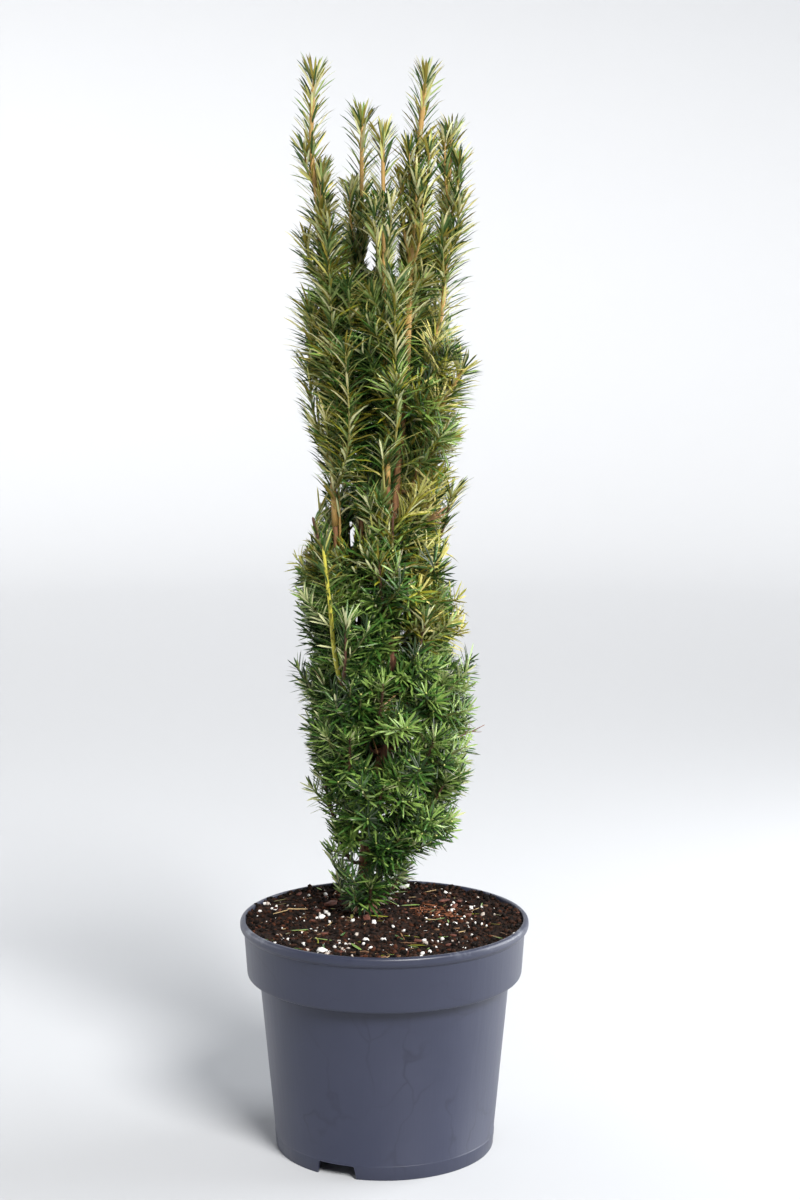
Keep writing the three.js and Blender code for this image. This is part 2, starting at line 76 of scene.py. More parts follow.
# Each lamp: its name, kind, place, what it points at, its spread in degrees or size, its power and colour.
LAMPS = (
    ("key", "SUN", (1.2, -2.3, 2.9), (0, 0, 0.6), 22, 5.3, (1, 0.985, 0.955)),
    ("fill", "SUN", (-2.4, -1.9, 2.0), (0, 0, 0.5), 50, 0.7, (0.96, 0.98, 1)),
    ("left_panel", "AREA", (-1.6, 0.5, 0.8), (0, 0, 0.5), 1.5, 9, (0.97, 0.98, 1)),
    ("right_panel", "AREA", (1.5, 0.35, 0.7), (0, 0, 0.3), 1.4, 46, (0.97, 0.99, 1)),
)


def to_object(name, shape):
    """The bmesh as an object at the origin, with its place in its mesh."""
    mesh = bpy.data.meshes.new(name)
    shape.to_mesh(mesh)
    shape.free()
    piece = bpy.data.objects.new(name, mesh)
    bpy.context.scene.collection.objects.link(piece)
    return piece


def spun(outline, steps):
    """A bmesh turned round the Z axis from a closed or open outline of (radius, height)."""
    shape = bmesh.new()
    corners = [shape.verts.new((radius, 0, height)) for radius, height in outline]
    edges = [shape.edges.new(pair) for pair in zip(corners, corners[1:])]
    bmesh.ops.spin(shape, geom=corners + edges, cent=(0, 0, 0), axis=(0, 0, 1), angle=math.tau,
                   steps=steps, use_merge=True)
    bmesh.ops.remove_doubles(shape, verts=shape.verts, dist=1e-6)
    bmesh.ops.recalc_face_normals(shape, faces=shape.faces)
    return shape


def smooth(piece):
    """Smooth shading over the whole piece."""
    piece.data.polygons.foreach_set("use_smooth", [True] * len(piece.data.polygons))


def wire(tree, node, inputs):
    """Give each named socket of a node its value, or the output that feeds it."""
    for name, value in inputs.items():
        if isinstance(value, bpy.types.NodeSocket):
            tree.links.new(value, node.inputs[name])
        else:
            node.inputs[name].default_value = value


def add_node(tree, kind, inputs=None, **settings):
    """A node of that kind with its settings, and with its sockets wired."""
    node = tree.nodes.new(kind)
    for name, value in settings.items():
        setattr(node, name, value)
    wire(tree, node, inputs or {})
    return node


def new_material(name, **sockets):
    """A material, its node tree and its shader, with the values of the named sockets."""
    material = bpy.data.materials.new(name)
    material.use_nodes = True
    tree = material.node_tree
    shader = tree.nodes["Principled BSDF"]
    wire(tree, shader, {socket.replace("_", " "): value for socket, value in sockets.items()})
    return material, tree, shader


bend_radius = STUDIO_REACH - STUDIO_FLOOR
bend = [(STUDIO_FLOOR + bend_radius * math.sin(turn), bend_radius * (1 - math.cos(turn)))
        for turn in np.linspace(0, math.pi / 2, STUDIO_BEND_STEPS)]
studio = to_object("studio", spun([(0, 0), *bend, (STUDIO_REACH, STUDIO_HEIGHT)], STUDIO_STEPS))
smooth(studio)
studio.data.materials.append(new_material("studio_paint", Base_Color=STUDIO_COLOUR, Roughness=0.75)[0])
studio.visible_shadow = False

sky = bpy.data.worlds.new("sky")
sky.use_nodes = True
wire(sky.node_tree, sky.node_tree.nodes["Background"], {"Color": SKY_COLOUR, "Strength": SKY_STRENGTH})
bpy.context.scene.world = sky
bpy.context.scene.view_settings.view_transform = "Standard"

for name, kind, place, target, breadth, power, colour in LAMPS:
    lamp = bpy.data.lights.new(name, kind)
    if kind == "SUN":
        lamp.angle = math.radians(breadth)
    else:
        lamp.size = breadth
    lamp.energy, lamp.color = power, colour
    holder = bpy.data.objects.new(name, lamp)
    holder.location = place
    holder.rotation_euler = (Vector(target) - Vector(place)).to_track_quat("-Z", "Y").to_euler()
    bpy.context.scene.collection.objects.link(holder)

# ---------------------------------------------------------------- pot
# A blow-moulded ten-litre nursery pot of dark blue-grey polypropylene: foot skirt with three drainage
# notches, tapered wall, wider stacking band and a rolled rim. It is satin, and scuffed by handling.

pot_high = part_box("pot")[1]
POT_STEPS = 192
POT_HEIGHT = pot_high.z
RIM_RADIUS = pot_high.x
RIM_HEIGHT = 0.011
RIM_ROUND = 0.0018
FOOT_RADIUS = 0.1074
WALL_TAPER = 0.093
WALL = 0.0022
EASE = 0.001
RIM_SLOPE = (0.0015, 0.004)
SKIRT_HEIGHT = 0.014
SKIRT_PROUD = 0.0005
FLOOR_THICKNESS = 0.0025
BAND_LEVEL = 0.174
BAND_RADIUS = 0.1354
BAND_TAPER = 0.065
LEDGE = 0.0025
NOTCHES = 3
NOTCH_BEARING = 244.8
NOTCH_WIDTHS = (0.042, 0.037)
NOTCH_HEIGHT = 0.013
NOTCH_DEPTH = 0.02
NOTCH_ROUND = 0.0015
# The outline's rounded corners, and how far each is cut back.
POT_ROUNDS = {3: 0.0005, 4: 0.0003, 7: 0.0007, 8: 0.0012, 9: 0.0012, 10: 0.0009, 11: 0.0012, 12: 0.0011,
              13: 0.0011, 14: 0.0008}
SHARP_ANGLE = 38
POT_COLOUR = (0.018, 0.022, 0.044, 1)
POT_PALE = (0.030, 0.034, 0.061, 1)
POT_RUBBED = (0.110, 0.120, 0.150, 1)
POT_VEIN = (0.006, 0.007, 0.017, 1)


def wall_radius(height):
    """The tapered wall's outer radius at a height."""
    return FOOT_RADIUS + WALL_TAPER * height


def band_radius(height):
    """The stacking band's outer radius at a height."""
    return BAND_RADIUS + BAND_TAPER * (height - BAND_LEVEL)


rim_level = POT_HEIGHT - RIM_HEIGHT
floor_top = SKIRT_HEIGHT + FLOOR_THICKNESS
pot_outline = [
    (0, SKIRT_HEIGHT),
    (wall_radius(SKIRT_HEIGHT) - WALL, SKIRT_HEIGHT),
    (wall_radius(0) - WALL, 0),
    (wall_radius(0) + SKIRT_PROUD, 0),
    (wall_radius(SKIRT_HEIGHT) + SKIRT_PROUD, SKIRT_HEIGHT),
    (wall_radius(SKIRT_HEIGHT), SKIRT_HEIGHT + EASE),
    (wall_radius(BAND_LEVEL), BAND_LEVEL),
    (band_radius(BAND_LEVEL) - EASE, BAND_LEVEL),
    (band_radius(BAND_LEVEL), BAND_LEVEL + 2 * EASE),
    (band_radius(rim_level), rim_level),
    (RIM_RADIUS - RIM_ROUND, rim_level + RIM_SLOPE[0]),
    (RIM_RADIUS, rim_level + RIM_SLOPE[1]),
    (RIM_RADIUS, POT_HEIGHT - RIM_ROUND),
    (RIM_RADIUS - RIM_ROUND, POT_HEIGHT),
    (band_radius(POT_HEIGHT) - WALL, POT_HEIGHT),
    (band_radius(BAND_LEVEL) - WALL, BAND_LEVEL + LEDGE + EASE),
    (wall_radius(BAND_LEVEL) - WALL, BAND_LEVEL + LEDGE),
    (wall_radius(floor_top) - WALL, floor_top),
    (0, floor_top),
]
pot_shape = spun(pot_outline, POT_STEPS)


def ring_edges(shape, radius, height, near=2e-5):
    """The edges of the ring at that radius and height."""
    def on_ring(vertex):
        return abs(math.hypot(vertex.co.x, vertex.co.y) - radius) < near and abs(vertex.co.z - height) < near
    return [edge for edge in shape.edges if all(on_ring(vertex) for vertex in edge.verts)]


def round_edges(shape, edges, cut, segments=3):
    """Round some edges by cutting them back, and return what that makes."""
    return bmesh.ops.bevel(shape, geom=edges, offset=cut, segments=segments, affect="EDGES", profile=0.5,
                           material=-1)


for corner, cut in POT_ROUNDS.items():
    round_edges(pot_shape, ring_edges(pot_shape, *pot_outline[corner]), cut)
pot = to_object("nursery_pot", pot_shape)

notch_shape = bmesh.new()
for number in range(NOTCHES):
    cube = bmesh.ops.create_cube(notch_shape, size=1)["verts"]
    for vertex in cube:
        upper = vertex.co.z > 0
        vertex.co.x *= NOTCH_DEPTH
        vertex.co.y *= NOTCH_WIDTHS[1] if upper else NOTCH_WIDTHS[0]
        vertex.co.z = NOTCH_HEIGHT if upper else -EASE
    top_edges = [edge for edge in notch_shape.edges if edge.verts[0] in cube
                 and all(vertex.co.z > 0 and abs(vertex.co.y) > 0 for vertex in edge.verts)
                 and abs(edge.verts[0].co.y - edge.verts[1].co.y) < 1e-6]
    rounded = round_edges(notch_shape, top_edges, NOTCH_ROUND)["verts"]
    cube = list({vertex for vertex in cube if vertex.is_valid} | set(rounded))
    turn = math.radians(NOTCH_BEARING + 360 / NOTCHES * number)
    bmesh.ops.translate(notch_shape, verts=cube, vec=(FOOT_RADIUS, 0, 0))
    bmesh.ops.rotate(notch_shape, verts=cube, cent=(0, 0, 0), matrix=Matrix.Rotation(turn, 3, "Z"))
bmesh.ops.recalc_face_normals(notch_shape, faces=notch_shape.faces)
notch_cutter = to_object("notch_cutter", notch_shape)
cut = pot.modifiers.new("notches", "BOOLEAN")
cut.object, cut.operation, cut.solver = notch_cutter, "DIFFERENCE", "EXACT"
finished = bpy.data.meshes.new_from_object(pot.evaluated_get(bpy.context.evaluated_depsgraph_get()))
pot.modifiers.clear()
pot.data = finished
pot.data.name = "nursery_pot"
bpy.data.objects.remove(notch_cutter)
smooth(pot)
pot.data.set_sharp_from_angle(angle=math.radians(SHARP_ANGLE))


def soft_noise(tree, where, scale, detail, roughness=0.5, output="Fac"):
    """Soft noise, that many times to the metre: its value, or its colour."""
    return add_node(tree, "ShaderNodeTexNoise", {"Vector": where, "Scale": scale, "Detail": detail,
                                                 "Roughness": roughness}).outputs[output]


def ramp(tree, value, low, high, to_low=0, to_high=1):
    """The value's range from low to high spread over another range, and held at its ends."""
    return add_node(tree, "ShaderNodeMapRange", {"Value": value, "From Min": low, "From Max": high,
                                                 "To Min": to_low, "To Max": to_high}).outputs["Result"]


def times(tree, one, other):
    """Two values multiplied."""
    return add_node(tree, "ShaderNodeMath", {0: one, 1: other}, operation="MULTIPLY").outputs["Value"]


def mix(tree, share, first, second):
    """The first colour with its share of the second."""
    return add_node(tree, "ShaderNodeMix", {"Factor": share, "A": first, "B": second},
                    data_type="RGBA").outputs["Result"]


def bump(tree, height, strength, depth):
    """A normal that follows a height."""
    return add_node(tree, "ShaderNodeBump", {"Height": height, "Strength": strength,
                                             "Distance": depth}).outputs["Normal"]


plastic, tree, shader = new_material("moulded_plastic")
place = add_node(tree, "ShaderNodeTexCoord").outputs["Object"]
upright, drawn_out = [
    add_node(tree, "ShaderNodeMapping", {"Vector": place, "Scale": (1, 1, rise)}).outputs["Vector"]
    for rise in (0.12, 0.5)]
clouds = soft_noise(tree, place, scale=14, detail=4, roughness=0.6)
flow_marks = ramp(tree, soft_noise(tree, upright, scale=60, detail=3, roughness=0.6), 0.42, 0.75)
body_colour = mix(tree, clouds, POT_COLOUR, POT_PALE)
# Dark hairlines wander over the wall in patches.
wander = soft_noise(tree, place, scale=12, detail=3, output="Color")
strayed = add_node(tree, "ShaderNodeVectorMath", {0: wander, 1: (0.12, 0.12, 0.12), 2: drawn_out},
                   operation="MULTIPLY_ADD").outputs["Vector"]
scratches = add_node(tree, "ShaderNodeTexVoronoi", {"Vector": strayed, "Scale": 17},
                     feature="DISTANCE_TO_EDGE")
hairlines = ramp(tree, scratches.outputs["Distance"], 0, 0.035, to_low=0.42, to_high=0)
patchy = ramp(tree, soft_noise(tree, place, scale=13, detail=3), 0.43, 0.66)
worn = mix(tree, times(tree, hairlines, patchy), body_colour, POT_VEIN)
# The rim is rubbed pale in places.
level = add_node(tree, "ShaderNodeSeparateXYZ", {"Vector": place}).outputs["Z"]
on_rim = ramp(tree, level, POT_HEIGHT - 0.006, POT_HEIGHT - 0.001)
rubbed = ramp(tree, soft_noise(tree, place, scale=45, detail=4, roughness=0.7), 0.56, 0.72)
used = mix(tree, times(tree, on_rim, rubbed), worn, POT_RUBBED)
wire(tree, shader, {"Base Color": used, "Roughness": ramp(tree, clouds, 0, 1, to_low=0.30, to_high=0.46),
                    "Normal": bump(tree, flow_marks, strength=0.25, depth=0.0004)})
pot.data.materials.clear()
pot.data.materials.append(plastic)
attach(pot, "root")
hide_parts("pot")

# ---------------------------------------------------------------- soil bed
# The root ball's top: moist peat and bark, packed against the pot's wall and slightly crowned. Its
# surface is lumpy, and falls away into small dark holes.

SOIL_EDGE = 0.2262
SOIL_CROWN = 0.2225
SOIL_SKIRT = 0.03
SOIL_RINGS = 70
SOIL_STEPS = 230
SOIL_LUMPS = 0.0042
SOIL_GAP = 0.0003
# The soil's swells and lumps: how many to the metre, and their share of the relief.
SWELLS, LUMPS = (45, 0.4), (160, 0.45)
PEAT_DARK, PEAT_LIGHT = (0.003, 0.002, 0.0015), (0.026, 0.013, 0.009)
soil_radius = band_radius(SOIL_EDGE) - WALL - SOIL_GAP


def soil_level(x, y):
    """Height of the soil at a place: the crowned bed with its lumps."""
    share = min(1.0, math.hypot(x, y) / soil_radius)
    bed = SOIL_CROWN + (SOIL_EDGE - SOIL_CROWN) * share ** 3
    broad = noise.noise((x * SWELLS[0], y * SWELLS[0], 0.3))
    lumps = noise.fractal((x * LUMPS[0], y * LUMPS[0], 1.7), 1.0, 2.1, 3)
    return bed + SOIL_LUMPS * (SWELLS[1] * broad + LUMPS[1] * lumps)


def make_mottle():
    """Two colours in patches of one size, with finer grain inside them: for soil, bark and stone."""
    group = bpy.data.node_groups.new("mottle", "ShaderNodeTree")
    for name, side, kind in (("Dark", "INPUT", "Color"), ("Light", "INPUT", "Color"),
                             ("Scale", "INPUT", "Float"), ("Stretch", "INPUT", "Vector"),
                             ("Contrast", "INPUT", "Float"), ("Color", "OUTPUT", "Color"),
                             ("Grain", "OUTPUT", "Float")):
        group.interface.new_socket(name, in_out=side, socket_type="NodeSocket" + kind)
    given = add_node(group, "NodeGroupInput").outputs
    here = add_node(group, "ShaderNodeTexCoord").outputs["Object"]
    drawn = add_node(group, "ShaderNodeVectorMath", {0: here, 1: given["Stretch"]}, operation="MULTIPLY")
    grain = soft_noise(group, drawn.outputs["Vector"], given["Scale"], detail=5, roughness=0.65)
    centred = add_node(group, "ShaderNodeMath", {0: grain, 1: 0.5}, operation="SUBTRACT")
    spread = add_node(group, "ShaderNodeMath", {0: centred.outputs["Value"], 1: given["Contrast"], 2: 0.5},
                      operation="MULTIPLY_ADD", use_clamp=True)
    blend = mix(group, spread.outputs["Value"], given["Dark"], given["Light"])
    wire(group, add_node(group, "NodeGroupOutput"), {"Color": blend, "Grain": grain})
    return group


mottle = make_mottle()


def mottled(tree, dark, light, scale, stretch=(1, 1, 1), contrast=2.5):
    """The mottle's outputs, from its two colours, its patches to the metre and how they are drawn out."""
    inputs = {"Dark": (*dark, 1), "Light": (*light, 1), "Scale": scale, "Stretch": stretch,
              "Contrast": contrast}
    return add_node(tree, "ShaderNodeGroup", inputs, node_tree=mottle).outputs


def mottled_material(name, dark, light, scale, relief, roughness, shine=0.5, **pattern):
    """A rough material in two mottled colours whose relief follows the mottling."""
    material, tree, shader = new_material(name, Roughness=roughness, Specular_IOR_Level=shine)
    patches = mottled(tree, dark, light, scale, **pattern)
    wire(tree, shader, {"Base Color": patches["Color"],
                        "Normal": bump(tree, patches["Grain"], strength=0.8, depth=relief)})
    return material


bed_outline = [(soil_radius * share, SOIL_EDGE) for share in np.linspace(0, 1, SOIL_RINGS)]
bed_outline += [(soil_radius, SOIL_EDGE - SOIL_SKIRT), (0, SOIL_EDGE - SOIL_SKIRT)]
bed_shape = spun(bed_outline, SOIL_STEPS)
for vertex in bed_shape.verts:
    if vertex.co.z > SOIL_EDGE - SOIL_SKIRT / 2:
        vertex.co.z = soil_level(vertex.co.x, vertex.co.y)
soil_bed = to_object("soil_bed", bed_shape)
smooth(soil_bed)
soil_bed.data.materials.append(
    mottled_material("peat", PEAT_DARK, PEAT_LIGHT, 320, 0.0016, 0.9, contrast=3.2, shine=0.15))
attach(soil_bed, "root")
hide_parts("soil")

# ---------------------------------------------------------------- crumbs on the soil
# Loose peat crumbs, fibres, chips of red bark, white perlite and straws, each kind joined into one piece.
# They lie on the bed and are pressed a little way into it.

GOLDEN_ANGLE = math.pi * (3 - math.sqrt(5))


def between(limits, share):
    """The value at a share of the way from the first limit to the second."""
    return limits[0] + (limits[1] - limits[0]) * share


def join_copies(name, blank, corners, slots=None):
    """One mesh of many copies of a blank bmesh: corners holds the vertices of each copy, and slots the
    number that is added to its faces' materials."""
    source = bpy.data.meshes.new(name + "_blank")
    blank.to_mesh(source)
    count, size = corners.shape[:2]
    slots = np.zeros(count, int) if slots is None else np.asarray(slots)

    def read(collection, field, width, kind=np.int32):
        values = np.zeros(len(collection) * width, kind)
        collection.foreach_get(field, values)
        return values

    def repeat(values, step):
        return (values[None, :] + np.arange(count)[:, None] * step).astype(np.int32).ravel()

    mesh = bpy.data.meshes.new(name)
    mesh.vertices.add(count * size)
    mesh.vertices.foreach_set("co", corners.astype(np.float32).ravel())
    mesh.edges.add(count * len(source.edges))
    mesh.edges.foreach_set("vertices", repeat(read(source.edges, "vertices", 2), size))
    mesh.loops.add(count * len(source.loops))
    mesh.loops.foreach_set("vertex_index", repeat(read(source.loops, "vertex_index", 1), size))
    mesh.loops.foreach_set("edge_index", repeat(read(source.loops, "edge_index", 1), len(source.edges)))
    mesh.polygons.add(count * len(source.polygons))
    mesh.polygons.foreach_set("loop_start",
                              repeat(read(source.polygons, "loop_start", 1), len(source.loops)))
    kinds = read(source.polygons, "material_index", 1)
    mesh.polygons.foreach_set("material_index", (kinds[None, :] + slots[:, None]).astype(np.int32).ravel())
    mesh.polygons.foreach_set("use_smooth", np.ones(count * len(source.polygons), bool))
    creased = np.array([not edge.smooth for edge in blank.edges], bool)
    mesh.attributes.new("sharp_edge", "BOOLEAN", "EDGE").data.foreach_set("value", np.tile(creased, count))
    mesh.update()
    bpy.data.meshes.remove(source)
    piece = bpy.data.objects.new(name, mesh)
    bpy.context.scene.collection.objects.link(piece)
    return piece


def corners_of(blank):
    """A blank's vertices as an array, in its mesh's order."""
    return np.array([vertex.co[:] for vertex in blank.verts])


def random_turns(count, draw, tilt):
    """A turn for each copy: any way round Z, and tipped by up to the tilt."""
    turns = [Matrix.Rotation(draw.uniform(0, math.tau), 3, "Z")
             @ Matrix.Rotation(draw.uniform(-tilt, tilt), 3, "X")
             @ Matrix.Rotation(draw.uniform(0, math.tau), 3, "Z") for _ in range(count)]
    return np.array([np.array(turn) for turn in turns])


def crumb_blank():
    """A rounded lump of unit radius."""
    blank = bmesh.new()
    bmesh.ops.create_icosphere(blank, subdivisions=1, radius=1)
    return blank


def chip_blank():
    """A flat splinter of unit length with broken corners."""
    blank = bmesh.new()
    bmesh.ops.create_cube(blank, size=1)
    round_edges(blank, list(blank.edges), 0.16, segments=1)
    return blank


def strewn(count, draw, inner=0.0, heaps=(), heap_size=0.022):
    """Places over the soil: evenly outside the inner share of its radius, or in heaps round given places."""
    reach = np.sqrt(draw.uniform(inner ** 2, 1, count)) * (soil_radius - 0.002)
    bearing = draw.uniform(0, math.tau, count)
    places = np.stack([reach * np.cos(bearing), reach * np.sin(bearing)], axis=1)
    if len(heaps):
        heaped = np.asarray(heaps)[draw.integers(0, len(heaps), count)]
        heaped = heaped + draw.normal(0, heap_size, (count, 2))
        kept = np.hypot(*heaped.T) < soil_radius - 0.003
        places[kept] = heaped[kept]
    return places


def scatter(name, blank, places, seed, sizes, shape, tilt, sink, materials):
    """Copies of a blank laid at places on the soil. sizes is the range of their half lengths, shape their
    three proportions, and sink how far they are pressed in, as a share of their size."""
    count = len(places)
    draw = np.random.default_rng(seed)
    points = corners_of(blank)
    turns = random_turns(count, draw, tilt)
    size = between(sizes, draw.uniform(0, 1, count) ** 2.2)
    proportions = np.array(shape) * draw.uniform(0.75, 1.3, (count, 3))
    dents = 1 + draw.uniform(-0.28, 0.28, (count, len(points), 1))
    local = points[None] * dents * proportions[:, None] * size[:, None, None]
    local = np.einsum("nij,nvj->nvi", turns, local)
    level = np.array([soil_level(*place) for place in places])
    ground = np.column_stack([places, level + size * proportions[:, 2] * (1 - 2 * sink)])
    piece = join_copies(name, blank, local + ground[:, None], draw.integers(0, len(materials), count))
    for material in materials:
        piece.data.materials.append(material)
    blank.free()
    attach(piece, "root")
    return piece


PEAT_CRUMB = {"scale": 500, "relief": 0.0006, "shine": 0.15}
CHIP = {"scale": 380, "relief": 0.0005, "roughness": 0.85, "stretch": (1, 0.3, 1)}
GRAIN = {"scale": 700, "relief": 0.0004, "roughness": 0.9}
peat_dark = mottled_material("peat_dark", (0.0015, 0.001, 0.0008), (0.009, 0.005, 0.0036), roughness=0.9,
                             **PEAT_CRUMB)
peat_brown = mottled_material("peat_brown", (0.006, 0.0028, 0.0018), (0.050, 0.0205, 0.0115), roughness=0.88,
                              **PEAT_CRUMB)
peat_russet = mottled_material("peat_russet", (0.016, 0.0055, 0.003), (0.090, 0.029, 0.013), roughness=0.88,
                               **PEAT_CRUMB)
bark_red = mottled_material("bark_chip_red", (0.045, 0.012, 0.007), (0.150, 0.042, 0.022), **CHIP)
bark_tan = mottled_material("bark_chip_tan", (0.08, 0.04, 0.018), (0.22, 0.11, 0.05), **CHIP)
fibre_rust = mottled_material("fibre_rust", (0.10, 0.028, 0.010), (0.30, 0.10, 0.035), 600, 0.0003, 0.85)
fibre_straw = mottled_material("fibre_straw", (0.26, 0.17, 0.07), (0.55, 0.40, 0.20), 600, 0.0002, 0.7)
perlite_white = mottled_material("perlite_white", (0.55, 0.52, 0.49), (0.90, 0.88, 0.85), **GRAIN)
perlite_dull = mottled_material("perlite_dull", (0.20, 0.15, 0.12), (0.58, 0.52, 0.47), **GRAIN)

draw = np.random.default_rng(10)
scatter("peat_crumbs", crumb_blank(), strewn(4200, draw), seed=11, sizes=(0.0006, 0.0031),
        shape=(1, 0.8, 0.6), tilt=0.9, sink=0.2,
        materials=[peat_dark, peat_brown, peat_dark, peat_brown, peat_russet, peat_dark])
# Crumbs heaped along the wall at the back, where they hide the rim's inner edge.
WALL_CRUMBS = 560
wall_bearings = draw.normal(math.pi / 2, 0.8, WALL_CRUMBS)
wall_places = np.stack([np.cos(wall_bearings), np.sin(wall_bearings)], axis=1) * (
    soil_radius - draw.uniform(0, 0.006, WALL_CRUMBS)[:, None])
scatter("wall_crumbs", crumb_blank(), wall_places, seed=16, sizes=(0.0008, 0.0034), shape=(1, 0.75, 0.6),
        tilt=0.9, sink=0.05, materials=[peat_dark, peat_brown, peat_dark])
scatter("peat_fibres", chip_blank(), strewn(800, draw), seed=12, sizes=(0.0020, 0.0066),
        shape=(1, 0.15, 0.12), tilt=0.4, sink=0.1, materials=[peat_brown, peat_dark, peat_russet])
scatter("bark_chips", chip_blank(), strewn(60, draw), seed=13, sizes=(0.0035, 0.0085), shape=(1, 0.62, 0.22),
        tilt=0.3, sink=0.2, materials=[bark_red, bark_red, bark_tan])
# The largest chips lie to the left of the stem.
LARGE_CHIPS = [(-0.070, 0.043), (-0.018, 0.012), (-0.055, 0.060), (0.060, 0.070)]
scatter("large_bark_chips", chip_blank(), np.array(LARGE_CHIPS), seed=17, sizes=(0.0110, 0.0150),
        shape=(1, 0.55, 0.2), tilt=0.15, sink=0.15, materials=[bark_red])
# A tuft of rusty bark fibres to the right of the stem.
FIBRE_TUFTS = [(0.046, 0.040), (0.060, 0.030)]
scatter("rusty_fibres", chip_blank(), strewn(170, draw, heaps=FIBRE_TUFTS, heap_size=0.009), seed=18,
        sizes=(0.0050, 0.0170), shape=(1, 0.07, 0.06), tilt=0.25, sink=0.0,
        materials=[fibre_rust, fibre_rust, peat_russet])
scatter("straws", chip_blank(), strewn(64, draw), seed=19, sizes=(0.0045, 0.0170), shape=(1, 0.055, 0.05),
        tilt=0.25, sink=-1.0, materials=[fibre_straw, fibre_straw, bark_tan])
# Perlite washes together in patches, mostly at the front and the left.
PERLITE_HEAPS = [(-0.075, -0.035), (-0.055, 0.010), (-0.090, -0.055), (-0.020, -0.080), (0.050, -0.075),
                 (0.080, -0.070), (-0.105, 0.045), (-0.065, 0.095), (-0.050, -0.100), (0.075, 0.000),
                 (0.090, 0.045)]
LARGE_GRAINS = [(0.020, 0.121), (-0.062, 0.012), (-0.058, -0.106)]
scatter("perlite", crumb_blank(),
        np.vstack([strewn(150, draw, heaps=PERLITE_HEAPS, heap_size=0.013), strewn(170, draw)]), seed=14,
        sizes=(0.0006, 0.0028), shape=(1, 0.85, 0.7), tilt=1.2, sink=0.2,
        materials=[perlite_white, perlite_white, perlite_dull])
scatter("large_perlite", crumb_blank(), np.array(LARGE_GRAINS), seed=15, sizes=(0.0040, 0.0046),
        shape=(1.2, 0.9, 0.7), tilt=0.4, sink=0.15, materials=[perlite_white])

# ---------------------------------------------------------------- wood: trunk and boughs
# One trunk leans to the right as it rises and forks into boughs that leave it nearly square and turn up.
# Thin bark flakes in upright strips, dark red-brown low down and tan to yellow-green on young wood.

GAP = 0.0003
TRUNK_FOOT = 0.2223
TRUNK = {
    "course": [(-0.019, 0.040, TRUNK_FOOT), (-0.019, 0.040, 0.242), (-0.017, 0.039, 0.300),
               (0, 0.032, 0.410), (0.012, 0.026, 0.540), (0.011, 0.025, 0.640), (0.020, 0.025, 0.738),
               (0.025, 0.025, 0.861), (0.030, 0.025, 0.945), (0.040, 0.025, 1.042)],
    "fork": 0.738, "base": 0.008, "tip": 0.003, "taper": 0.8, "flare": 0.005, "flare_height": 0.014,
}
# Each leader: where it leaves the trunk, where its foliage starts, its radius, the bare length under its
# tip that has no side twigs, and its course.
LEADERS = {
    "left": (0.300, 0.612, 0.0042, 0.090,
             [(-0.038, 0.030, 0.460), (-0.047, 0.020, 0.600), (-0.053, 0.020, 0.756), (-0.062, 0.020, 0.912),
              (-0.069, 0.020, 0.975), (-0.066, 0.020, 1.042)]),
    "middle_left": (0.345, 0.625, 0.0038, 0.062,
                    [(-0.024, 0.046, 0.500), (-0.023, 0.041, 0.650), (-0.028, 0.050, 0.805),
                     (-0.023, 0.055, 0.900), (-0.021, 0.055, 1.004)]),
    "middle": (0.440, 0.655, 0.0034, 0.062,
               [(0.007, 0.006, 0.520), (0.003, 0.008, 0.690), (0.001, 0.003, 0.800),
                (-0.001, 0.003, 0.984)]),
    "right": (0.722, 0.790, 0.0024, 0.070,
              [(0.040, 0.035, 0.768), (0.055, 0.042, 0.815), (0.061, 0.045, 0.915), (0.065, 0.045, 0.990)]),
    "low_right": (0.652, 0.712, 0.0023, 0.030,
                  [(0.042, 0.024, 0.705), (0.062, 0.020, 0.742), (0.076, 0.018, 0.766)]),
    "back_right": (0.385, 0.610, 0.0034, 0.040,
                   [(0.030, 0.062, 0.500), (0.036, 0.074, 0.640), (0.038, 0.074, 0.780),
                    (0.038, 0.070, 0.890)]),
    "back_left": (0.360, 0.600, 0.0032, 0.040,
                  [(-0.030, 0.068, 0.500), (-0.038, 0.080, 0.630), (-0.042, 0.078, 0.740),
                   (-0.040, 0.074, 0.835)]),
    "front_left": (0.385, 0.474, 0.0028, 0.045,
                   [(-0.030, 0, 0.435), (-0.045, -0.020, 0.480), (-0.052, -0.025, 0.545),
                    (-0.058, -0.025, 0.600)]),
}
LIMB_TIP = 0.0019
LIMB_TIP_SHARE = 0.62
COLLAR = 0.009
LIMB_SAMPLES = 41
# How many places a curve holds: a stretch of one, each span of a smooth one, a bent one, and the search for
# a height.
STRETCH_PLACES, SPAN_PLACES, BEND_PLACES, HEIGHT_PLACES = 160, 80, 60, 401


